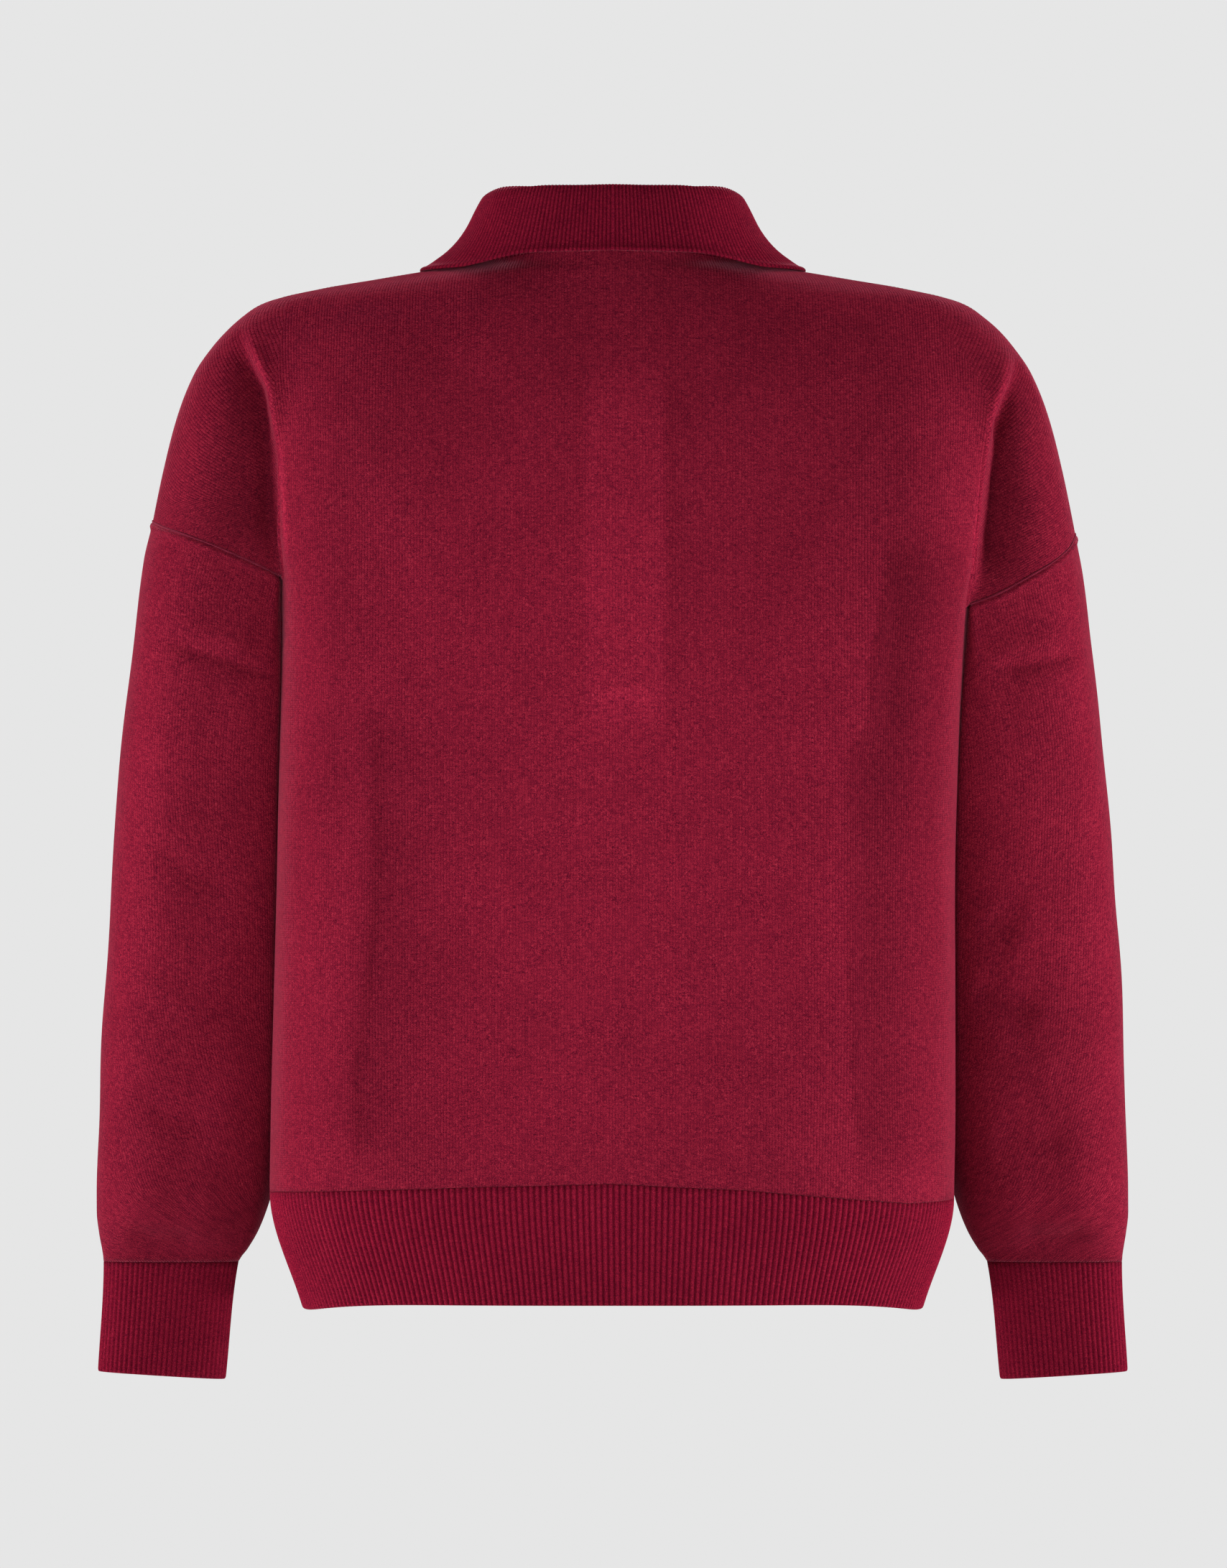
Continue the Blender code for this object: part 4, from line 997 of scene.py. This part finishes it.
def rib_tube(name, section, top, bottom, rows, ribs, rib_height, material, lift, lean=None):
    """Rings of rib. Each ring's points move inwards by the furrow's depth times a power of the rib's
    cosine. The rings close up towards the lower edge, which rolls inwards. The ribs lean and the rings
    are lifted by what two functions say of a point and its share of the way down."""
    steps = np.arange(ribs * RIB_POINTS + 1)
    turns = np.linspace(0, TURN, len(steps))
    rounded = np.abs(np.cos(steps * math.pi / RIB_POINTS)) ** RIB_ROUNDNESS
    rings = []
    for z in np.append(np.linspace(top, bottom + 3 * MM, rows), bottom + ROLL_Z):
        down = (top - z) / (top - bottom)
        turned = (turns + (lean(turns, down) if lean else 0)) % TURN
        point = spaced(section, z, turned)
        after, before = (spaced(section, z, (turned + step) % TURN) for step in (TANGENT_STEP, -TANGENT_STEP))
        tangent = after - before
        normal = unit(np.stack([tangent[:, 1], -tangent[:, 0], 0 * tangent[:, 0]], axis=-1))
        outward = np.sign((normal * (point - point.mean(axis=0))).sum())
        edge = np.clip((z - bottom) / ROLL_HEIGHT, 0, 1)
        roll = 1 - np.sqrt(1 - (1 - edge) ** 2)
        furrow = rib_height * (1 - rounded) * (EDGE_FURROW + (1 - EDGE_FURROW) * edge)
        point = point - (outward * (furrow + ROLL_DEPTH * roll))[:, None] * normal
        point[:, 2] += lift(point, down)
        rings.append(point)
    grid = np.stack(rings)
    cloth = np.stack([np.tile(steps / RIB_POINTS + 0.5, (len(grid), 1)), -run_along(grid, 0)], axis=-1)
    return sheet_mesh(name, [(grid, cloth)], material, RIB_WALL)


HEM_LEANS = ((128, 24, 1.6), (50, 30, -0.9))  # angle round the hem, width of the bell curve, lean: degrees
HEM_BACK_LIFT, HEM_BACK = 4.6 * MM, (0.03, 0.09)


def hem_lean(turns, down):
    """The ribs slant a few millimetres near both corners of the back: two bell curves round the hem."""
    bells = (lean * np.exp(-(((np.degrees(turns) - at) / width) ** 2)) for at, width, lean in HEM_LEANS)
    return np.radians(sum(bells)) * down


def hem_lift(point, down):
    """The upper edge follows the body's, and the lower one is a little higher at the back."""
    return HEM_BACK_LIFT * ease(point[:, 1], *HEM_BACK) * down + hem_rise(point) * (1 - down)


hem_band = rib_tube(
    "hem_band", hem_section, HEM_SEAM_Z - 0.3 * MM, HEM_EDGE_Z, HEM_ROWS,
    HEM_RIBS, HEM_RIB_HEIGHT, hem_rib_knit, hem_lift, hem_lean,
)
face_outwards(hem_band, (0, 0, -0.56))
cut = {"flat": (1.02, 0.067), "held": "stretched", "rests_on": ["back_panel", "front_panel"]}
hand_in(hem_band, "hem_rib", "crimson_rib", **cut)


def cuff_piece(side, word):
    """A cuff whose edge drops towards its outer side, on a straight line across."""

    def ring(turn, z):
        return arm_section(np.degrees(turn), z, side, UNLIMITED)

    def lift(point, down):
        return CUFF_TILT * (side * point[:, 0] - CUFF_MIDDLE_X) / CUFF_HALF_WIDTH * down

    piece = rib_tube(
        f"cuff_band_{word}", ring, CUFF_TOP_Z, CUFF_EDGE_Z, CUFF_ROWS,
        CUFF_RIBS, CUFF_RIB_HEIGHT, cuff_rib_knit, lift,
    )
    return face_outwards(piece, (side * 0.26, -0.048, -0.608))


for side, word in SIDES:
    cut = {"flat": (0.21, 0.066), "held": "stretched", "rests_on": [f"sleeve_knit_{word}"]}
    hand_in(cuff_piece(side, word), f"cuff_{word}", "crimson_rib", **cut)

# ------------------------------------------------------------------ collar
# The collar is a strip of fine rib linked to the neck edge. It stands, folds over and lies on the
# shoulders, and its free edge ends in a narrow rolled selvedge.
COLLAR_COLUMNS = ("turn", "fold_x", "fold_y", "fold_z", "edge_x", "edge_y", "edge_z", "hollow", "seat")
COLLAR = (
    (0, 0, 51, 47.6, 0, 63.5, 9.6, 0.5, 0.95),
    (30, 37, 46, 47.2, 46, 58.5, 8.4, 0.6, 0.95),
    (60, 65, 29, 45.8, 88, 40, 0.4, 4.0, 1.3),
    (90, 72.5, 2, 42, 111, 6, -0.9, 7.5, 1.8),
    (105, 70.5, -13, 37, 111, -18, -1.3, 6.5, 3.0),
    (120, 66, -28, 29, 106.5, -42, -2.6, 5, 2.0),
    (150, 38, -55, 3, 84, -80, -35, 3, 1.4),
    (177, 4, -73, -27, 52, -101, -90, 0, 1.1),
)
COLLAR_END_TURN, COLLAR_RIBS, COLLAR_POINTS, COLLAR_ROWS, COLLAR_LEAF_ROW = 177.0, 230, 5, 26, 24
COLLAR_WALL, COLLAR_RIB_HEIGHT, SELVEDGE_HEIGHT, FOLD_RADIUS = 2.2 * MM, 0.34 * MM, 0.9 * MM, 3.2 * MM
COLLAR_SHARES = np.append(np.linspace(0, 0.965, COLLAR_ROWS), (0.973, 0.981, 0.989, 0.995, 1.0))
COLLAR_ROUNDNESS, RIB_END = 1.3, (0.955, 0.968)  # shares of the strip's width, as are the next
SELVEDGE_START, SELVEDGE_MIDDLE, SELVEDGE_HALF = (0.962, 0.966), 0.982, 0.018
# Outwards and upwards from the fold's line: the top of the stand and the two sides of the fold.
COLLAR_BENDS = ((-FOLD_RADIUS, -1.5 * FOLD_RADIUS), (-0.8 * MM, 0.7 * MM), (0.8 * FOLD_RADIUS, 0.3 * MM))
COLLAR_YARN = tuple((place, tuple(0.86 * part for part in colour)) for place, colour in RIB_YARN)
# the fifth value is the painted shade in the collar's furrows
collar_knit = knit_finish("collar_knit", 1.0, 1.0 * MM, COLLAR_YARN, 0.1 * MM, 0.85, **RIB_SETTINGS)


def collar_seam(angle, seat, side):
    """Just inside the panels' neck edge and 2 mm below it, where the strip is linked on."""
    z = np.where(angle < 0, neck_z(np.abs(angle), "front"), neck_z(np.abs(angle), "back"))
    edge = body_point(angle, z, side)
    rise = unit(body_point(angle, z + MM, side) - edge)
    return edge - 0.75 * CLOTH_WALL * body_normal(edge) - (3 * MM - seat[:, None]) * rise


def collar_rows(turn):
    """The six lines that the strip bends through: seam, stand, both sides of the fold, leaf and edge."""
    side = np.where(turn < 0, -1.0, 1.0)

    def value(name):
        return read(COLLAR, COLLAR_COLUMNS, name, np.abs(turn)) * MM

    angle = np.radians(90 - np.abs(turn))
    left, right = (collar_seam(angle, value("seat"), each) for each in (1, -1))
    seam = np.where(side[:, None] > 0, left, right)
    fold, edge = (np.stack([value(f"{line}_{axis}") for axis in "xyz"], axis=1) for line in ("fold", "edge"))
    outward = unit((edge - fold) * (1, 1, 0))
    up = np.array([0, 0, 1.0])
    bends = (fold + aside * outward + rise * up for aside, rise in COLLAR_BENDS)
    leaf = (fold + FOLD_RADIUS * outward + edge) / 2 - value("hollow")[:, None] * (outward + up) / 1.4
    mirror = np.stack([side, side * side, side * side], axis=1)
    return np.stack([seam, *(row * mirror for row in (*bends, leaf, edge))])


def cut_corners(rows, times):
    """Chaikin's rule: each line is replaced by the points a quarter and three quarters of the way to the
    next, with both ends kept, so that the bends become round."""
    for _ in range(times):
        near = 0.75 * rows[:-1] + 0.25 * rows[1:]
        far = 0.25 * rows[:-1] + 0.75 * rows[1:]
        middle = np.stack([near, far], axis=1).reshape(-1, *rows.shape[1:])
        rows = np.concatenate([rows[:1], middle, rows[-1:]])
    return rows


def even_rows(rows, shares):
    """The same surface with its rows at given shares of each column's length."""
    run = run_along(rows, 0)
    run = run / run[-1]
    result = np.empty((len(shares), *rows.shape[1:]))
    for place, share in enumerate(shares):
        upper = np.clip((run < share).sum(axis=0), 1, len(rows) - 1)
        column = np.arange(rows.shape[1])
        low, high = run[upper - 1, column], run[upper, column]
        part = ((share - low) / (high - low))[:, None]
        result[place] = rows[upper - 1, column] * (1 - part) + rows[upper, column] * part
    return result


def collar_piece():
    """The strip as an even grid along its fold and across its width, with its ribs a power of a cosine
    and its selvedge a half ellipse at the free edge."""
    even = np.linspace(-COLLAR_END_TURN, COLLAR_END_TURN, 721)
    run = run_along(collar_rows(even)[2], 0)
    turns = np.interp(np.linspace(0, run[-1], COLLAR_RIBS * COLLAR_POINTS + 1), run, even)
    rows = even_rows(cut_corners(collar_rows(turns), 3), COLLAR_SHARES)
    normal = unit(np.cross(np.gradient(rows, axis=1), np.gradient(rows, axis=0)))
    steps, across = np.arange(len(turns)) / COLLAR_POINTS, COLLAR_SHARES[:, None]
    ribs = COLLAR_RIB_HEIGHT * (np.abs(np.cos(steps * math.pi)) ** COLLAR_ROUNDNESS - 1)
    ribs = ribs * (1 - ease(across, *RIB_END))
    off_middle = (across - SELVEDGE_MIDDLE) / SELVEDGE_HALF
    selvedge = SELVEDGE_HEIGHT * np.sqrt(np.clip(1 - off_middle**2, 0, 1)) * ease(across, *SELVEDGE_START)
    grid = rows + (COLLAR_WALL / 2 + ribs + selvedge)[..., None] * normal
    cloth = np.stack([np.tile(steps + 0.5, (len(rows), 1)), run_along(rows, 0)], axis=-1)
    piece = sheet_mesh("collar_strip", [(grid, cloth)], collar_knit, COLLAR_WALL)
    return face_along(piece, grid[COLLAR_LEAF_ROW, len(turns) // 2], (0, 1, 0.4))


cut = {"flat": (0.48, 0.094), "held": "folded", "rests_on": ["back_panel", "front_panel"]}
hand_in(collar_piece(), "collar", "crimson_rib", **cut)

# ------------------------------------------------------------------ placket and buttons
# Two bands of the double knit close the front opening, the left one over the right. Three small
# four-hole buttons are sewn to the under band through worked holes in the upper one.
BAND_TOP_GAP, BAND_WALL, BAND_COLUMNS, BAND_ROWS = 5.5 * MM, 1.8 * MM, 41, 110
STITCH_INSET, STITCH_WIDTH, STITCH_DEPTH = 2.5 * MM, 0.7 * MM, 0.3 * MM
EDGE_REACH, EDGE_THINNED = 0.9 * MM, 0.5 * MM
BANDS = (  # name, node, half width, lower end, lift off the front's face, flat width
    ("placket_upper_band", "placket_over", 22 * MM, -254 * MM, 2.3 * MM, 0.044),
    ("placket_under_band", "placket_under", 18.7 * MM, -245.8 * MM, -0.05 * MM, 0.0374),
)


def front_point(x, z):
    """A point of the front's outer face by its place across and its height: the superellipse solved for y."""
    power = torso("squareness", z)
    share = 1 - np.abs((x - torso("lean", z)) / torso("half_width", z)) ** power
    return np.stack([x + 0 * z, -torso("front", z) * share ** (1 / power), z + 0 * x], axis=-1)


def front_normal(x, z):
    across = front_point(x + MM, z) - front_point(x - MM, z)
    upward = front_point(x, z + MM) - front_point(x, z - MM)
    return unit(np.cross(across, upward))


def band_piece(name, half_width, end_z, lift):
    """A strip of the front's own surface lifted off it, thinned at its edges and pressed along a line of
    stitches inside them."""
    across = np.linspace(-1, 1, BAND_COLUMNS)
    x = np.tile(np.sign(across) * np.abs(across) ** 0.85 * half_width, (BAND_ROWS, 1))
    top = neck_z(np.arctan2(torso("front", NECK_FRONT_Z), np.abs(x[0])), "front") - BAND_TOP_GAP
    z = end_z + (top - end_z) * np.linspace(1, 0, BAND_ROWS)[:, None]
    inset = np.minimum(half_width - np.abs(x), z - end_z)
    pressed = -STITCH_DEPTH * np.exp(-(((inset - STITCH_INSET) / STITCH_WIDTH) ** 2))
    pressed -= EDGE_THINNED * (1 - ease(inset, 0, EDGE_REACH))
    point = front_point(x, z) + (lift + pressed + slow_waves(x * 2, z) * 0.3)[..., None] * front_normal(x, z)
    cloth = np.stack([x + 0.6, z + 1.0], axis=-1)
    return face_outwards(sheet_mesh(name, [(point, cloth)], body_knit, BAND_WALL), (0, 0.2, -0.15))


for name, node, half_width, end_z, lift, width in BANDS:
    cut = {"flat": (width, 0.2), "held": "laid", "rests_on": ["front_panel"]}
    hand_in(band_piece(name, half_width, end_z, lift), node, "crimson_double_knit", **cut)


def button_finish():
    """Polished dyed resin: a dark burgundy with faint darker clouds, whose noise also makes its bump."""
    material, _, place = new_finish("burgundy_resin")
    cloud = place.noise(420.0, 3.0)
    colour = cloud.mixed((0.030, 0.003, 0.007), (0.085, 0.008, 0.018))
    return finished(material, colour, cloud.bump(0.25, 0.05 * MM), {"Roughness": 0.24, "Coat Weight": 0.4})


def thread_finish():
    """Plied sewing thread, its plies a slanted wave on the cloth coordinates."""
    material, cloth, _ = new_finish("sewing_thread")
    u, v = cloth.split()
    ply = ((u * 3.0 + v * 2400.0) * TURN).math("SINE") * 0.5 + 0.5
    colour = ply.mixed((0.07, 0.0035, 0.013), (0.27, 0.020, 0.048))
    settings = {**WOOL, "Sheen Weight": 0.2, "Sheen Roughness": 0.5}
    return finished(material, colour, ply.bump(0.8, 0.1 * MM), settings)


resin, thread = button_finish(), thread_finish()
BUTTON_Z = (-80 * MM, -144 * MM, -208 * MM)
BUTTON_RADIUS, HOLE_RADIUS, HOLE_REACH, HOLE_DEPTH = 5.75 * MM, 0.8 * MM, 1.35 * MM, 1.3 * MM
BUTTON_LIFT, BUTTON_MIDDLE, BUTTONHOLE_LIFT = 2.65 * MM, 3.6 * MM, 2.3 * MM
BUTTON_PROFILE = ((0, 1.45), (0.55, 1.5), (0.66, 1.75), (0.76, 2.3), (0.86, 2.4), (0.95, 2.0), (1.0, 1.3))
BUTTON_FACE = 0.8  # share of the rings that make the face; the rest wrap round to the back
THREAD_RADIUS, THREAD_ASIDE, THREAD_CROSSING = 0.17 * MM, 0.16 * MM, 0.25 * MM
THREAD_SEAT, THREAD_ARCH, THREAD_DIVE = 1.5 * MM, 0.45 * MM, 1.1 * MM
BUTTONHOLE_HALF, BUTTONHOLE_RADIUS = (1.0 * MM, 7.6 * MM), 0.55 * MM
TUBE_SIDES = 8


def on_front(points, z, lift):
    """Points modelled flat, with Z as height, set on the front at a height, lifted off its face."""
    x, height = np.zeros(1), np.array([z])
    normal = front_normal(x, height)[0]
    across = np.array([1.0, 0, 0])
    upward = np.cross(normal, across)
    seat = front_point(x, height)[0] + lift * normal
    return seat + points @ np.stack([across, upward, normal])


def tube(path, radius, closed=False):
    """A tube round a path: rings of points on two directions square to the path, radius as a number or
    an array along it. Cloth coordinates are the share round and the run along."""
    if closed:
        path = np.concatenate([path, path[:1]])
    step = np.gradient(path, axis=0)
    if closed:
        step[0] = step[-1] = path[1] - path[-2]
    step = unit(step)
    helper = np.where(np.abs(step[:, 2:]) > 0.9, [[1.0, 0, 0]], [[0, 0, 1.0]])
    first = unit(np.cross(step, helper))
    second = np.cross(step, first)
    turn = np.linspace(0, TURN, TUBE_SIDES + 1)
    ring = first[:, None] * np.cos(turn)[None, :, None] + second[:, None] * np.sin(turn)[None, :, None]
    cloth = np.stack(np.broadcast_arrays(turn / TURN, run_along(path, 0)[:, None]), axis=-1)
    return path[:, None] + np.broadcast_to(radius, len(path))[:, None, None] * ring, cloth


def button_disc():
    """Rings from the middle over the face and round to the back, with four pits for the holes."""
    around, out = np.linspace(0, TURN, 97), np.linspace(0, 1, 46)[:, None]
    reach = np.minimum(out / BUTTON_FACE, 1)
    wrap = np.clip((out - BUTTON_FACE) / (1 - BUTTON_FACE), 0, 1)
    height = np.interp(reach, *zip(*BUTTON_PROFILE)) * MM * (1 - wrap) + 0.05 * MM * wrap
    radius = BUTTON_RADIUS * reach * (1 - 0.22 * wrap**1.5)
    x, y = radius * np.cos(around), radius * np.sin(around)
    pit = np.zeros_like(x)
    for turn in np.radians((45, 135, 225, 315)):
        away = np.hypot(x - HOLE_REACH * math.cos(turn), y - HOLE_REACH * math.sin(turn))
        pit = np.maximum(pit, 1 - ease(away, HOLE_RADIUS * 0.75, HOLE_RADIUS * 1.1))
    return np.stack([x, y, height - HOLE_DEPTH * pit * (wrap == 0)], axis=-1)


def thread_line(turn, aside):
    """One of the strands that cross the button between opposite holes: a low arch that dives at its ends."""
    share = np.linspace(-1, 1, 21)
    along, across = HOLE_REACH * share, aside * THREAD_ASIDE
    arch = THREAD_SEAT + THREAD_ARCH * np.cos(share * math.pi / 2) - THREAD_DIVE * np.abs(share) ** 8
    x = along * math.cos(turn) - across * math.sin(turn)
    y = along * math.sin(turn) + across * math.cos(turn)
    return np.stack([x, y, arch + THREAD_CROSSING * (turn > math.pi / 2)], axis=-1)


def buttonhole_line():
    """A narrow superellipse of close stitches."""
    angle = np.linspace(0, TURN, 121)[:-1]
    half_x, half_y = BUTTONHOLE_HALF
    y = half_y * np.sign(np.sin(angle)) * np.abs(np.sin(angle)) ** 0.5
    return np.stack([half_x * np.cos(angle), y, 0.1 * MM + 0 * angle], axis=-1)


for number, z in enumerate(BUTTON_Z, 1):
    flat = button_disc()
    disc = (on_front(flat, z, BUTTON_LIFT), flat[..., :2])
    button = sheet_mesh(f"button_disc_{number}", [disc], resin, 0)
    face_outwards(button, tuple(on_front(np.zeros((1, 3)), z, BUTTON_MIDDLE)[0]))
    hand_in(button, f"button_{number}", "burgundy_button")
    lines = [thread_line(turn, aside) for turn in np.radians((45, 135)) for aside in (-1, 1)]
    strands = [tube(on_front(line, z, BUTTON_LIFT), THREAD_RADIUS) for line in lines]
    stitches = sheet_mesh(f"button_thread_{number}", strands, thread, 0)
    hand_in(stitches, None, "crimson_double_knit")
    swell = BUTTONHOLE_RADIUS * (0.85 + 0.15 * np.abs(np.sin(np.arange(121) * 1.9)))
    ring = tube(on_front(buttonhole_line(), z, BUTTONHOLE_LIFT), swell, closed=True)
    hand_in(sheet_mesh(f"buttonhole_{number}", [ring], thread, 0), None, "crimson_double_knit")

# ------------------------------------------------------------------ linked seams
# The sleeves are linked on by a chain of loops that stands as a fine cord on the armhole. Plain
# overlocked seams close the sides and the shoulders.
CHAIN_PITCH, CHAIN_STEPS = 2.3 * MM, 6
ARMHOLE_CHAIN_RADIUS, PLAIN_CHAIN_RADIUS, CHAIN_DEPTH = 0.62 * MM, 0.5 * MM, 0.25 * MM
CHAIN_SWELL, CHAIN_CHANGE = 0.34, 0.15  # shares of the radius, within a stitch and along the seam
SIDE_SEAM_TOP_Z = -207 * MM


def chain(name, path, radius, closed=False):
    """A cord along a path whose radius swells once in each stitch, as a sine's size does, and changes
    slowly along the seam."""
    if closed:
        path = np.concatenate([path, path[:1]])
    run = run_along(path, 0)
    step = np.arange(int(run[-1] / CHAIN_PITCH) * CHAIN_STEPS + 1)
    at = np.linspace(0, run[-1], len(step))
    even = np.stack([np.interp(at, run, path[:, axis]) for axis in range(3)], axis=-1)
    swell = radius * (1 - CHAIN_SWELL * (1 - np.abs(np.sin(step * math.pi / CHAIN_STEPS))))
    swell = swell * (1 - CHAIN_CHANGE * (1 - np.sin(step * 0.083 + 2 * np.sin(step * 0.017))))
    cord = tube(even[:-1] if closed else even, swell, closed)
    hand_in(sheet_mesh(name, [cord], thread, 0), None, "crimson_double_knit")


for side, word in SIDES:
    turns = np.linspace(-180, 180, 241)[:-1]
    seam, outward = dressed_armhole(turns, side)
    seam[:, 0] += side * 0.5 * MM * (np.abs(turns) > corner_turn(turns, side))
    seam += 0.15 * MM * outward + np.array([0, 0, -0.3 * MM])
    chain(f"{word}_armhole_seam", seam, ARMHOLE_CHAIN_RADIUS, closed=True)
    line = body_point(0.0, np.linspace(HEM_SEAM_Z + 2 * MM, SIDE_SEAM_TOP_Z, 90), side, NO_ARM)
    line[:, 2] += hem_rise(line)
    chain(f"{word}_side_seam", line - np.array([side * CHAIN_DEPTH, 0, 0]), PLAIN_CHAIN_RADIUS)
    line = body_point(0.0, shoulder_heights(200)[1:-1], side)
    chain(f"{word}_shoulder_seam", line - CHAIN_DEPTH * body_normal(line), PLAIN_CHAIN_RADIUS)

# ------------------------------------------------------------------ studio
# A pale floor as far below the garment as a wearer's would be, a pale surround, seven large soft
# lamps and four narrow ones. The camera stands behind the garment at the middle of its height.
CAMERA_DISTANCE, FRAME_HEIGHT, FRAME_MIDDLE_Z, FLOOR_Z = 8.0, 0.9081, -0.2968, -1.45

floor_mesh = bpy.data.meshes.new("floor")
corners = [(-9, -9, FLOOR_Z), (9, -9, FLOOR_Z), (9, 9, FLOOR_Z), (-9, 9, FLOOR_Z)]
floor_mesh.from_pydata(corners, [], [(0, 1, 2, 3)])
floor = put("floor", floor_mesh)
pale = bpy.data.materials.new("pale_floor")
pale.use_nodes = True
for name, value in (
    ("Base Color", (0.02, 0.02, 0.02, 1)),
    ("Roughness", 1.0),
    ("Specular IOR Level", 0.0),
    ("Emission Color", (0.77, 0.77, 0.77, 1)),
    ("Emission Strength", 1.0),
):
    pale.node_tree.nodes["Principled BSDF"].inputs[name].default_value = value
floor_mesh.materials.append(pale)

# The pale surround is what the camera sees; its light on the garment is much weaker than the lamps'.
SURROUND, SURROUND_LIGHT = 0.791, 0.22
world = bpy.data.worlds.new("pale_surround")
world.use_nodes = True
background = world.node_tree.nodes["Background"]
background.inputs[0].default_value = (SURROUND, SURROUND, SURROUND, 1)
seen = world.node_tree.nodes.new("ShaderNodeLightPath")
dimmed = world.node_tree.nodes.new("ShaderNodeMapRange")
dimmed.inputs[3].default_value, dimmed.inputs[4].default_value = SURROUND_LIGHT, 1.0
world.node_tree.links.new(seen.outputs["Is Camera Ray"], dimmed.inputs[0])
world.node_tree.links.new(dimmed.outputs[0], background.inputs[1])
bpy.context.scene.world = world

SPOT_WIDTH, SPOT_SIZE = math.radians(8), 0.2
LAMPS = (  # name, place, aimed at, side of the square (none for a spot), power
    ("key_lamp", (1.4, 3.2, -0.4), (0, 0, -0.35), 1.4, 27),
    ("fill_lamp", (-0.7, 3.6, -0.7), (0, 0, -0.4), 1.6, 10),
    ("front_key_lamp", (-1.4, -3.2, -0.4), (0, 0, -0.35), 1.4, 20),
    ("front_fill_lamp", (0.7, -3.6, -0.7), (0, 0, -0.4), 1.6, 7),
    ("left_lamp", (3.5, 0.3, -0.65), (0.2, 0, -0.45), 1.3, 128),
    ("right_lamp", (-3.5, 0.3, -0.65), (-0.2, 0, -0.45), 1.3, 162),
    ("top_lamp", (0, -1.6, 2.1), (0, 0, -0.1), 1.2, 85),
    ("upper_middle_lamp", (0.1, 3.5, -0.2), (0.02, 0, -0.15), 0, 160),
    ("lower_middle_lamp", (0.1, 3.5, -0.4), (0.02, 0, -0.40), 0, 235),
    ("front_upper_middle_lamp", (-0.1, -3.5, -0.2), (-0.02, 0, -0.15), 0, 120),
    ("front_lower_middle_lamp", (-0.1, -3.5, -0.4), (-0.02, 0, -0.40), 0, 195),
)
for name, place, aim, size, power in LAMPS:
    lamp = bpy.data.lights.new(name, "AREA" if size else "SPOT")
    lamp.energy = power
    if size:
        lamp.size = size
    else:
        lamp.spot_size, lamp.spot_blend, lamp.shadow_soft_size = SPOT_WIDTH, 1.0, SPOT_SIZE
    stand = put(name, lamp)
    direction = np.array(aim) - np.array(place)
    stand.location = place
    stand.rotation_euler = (
        math.atan2(math.hypot(direction[0], direction[1]), -direction[2]), 0,
        math.atan2(direction[1], direction[0]) - math.pi / 2,
    )

lens = bpy.data.cameras.new("camera")
lens.sensor_fit, lens.sensor_height = "VERTICAL", 36.0
lens.lens = 36.0 * CAMERA_DISTANCE / FRAME_HEIGHT
lens.clip_end = 100
camera = put("camera", lens)
camera.location = (-0.0004, CAMERA_DISTANCE, FRAME_MIDDLE_Z)
camera.rotation_euler = (math.pi / 2, 0, math.pi)
bpy.context.scene.camera = camera
bpy.context.scene.view_settings.view_transform = "Standard"
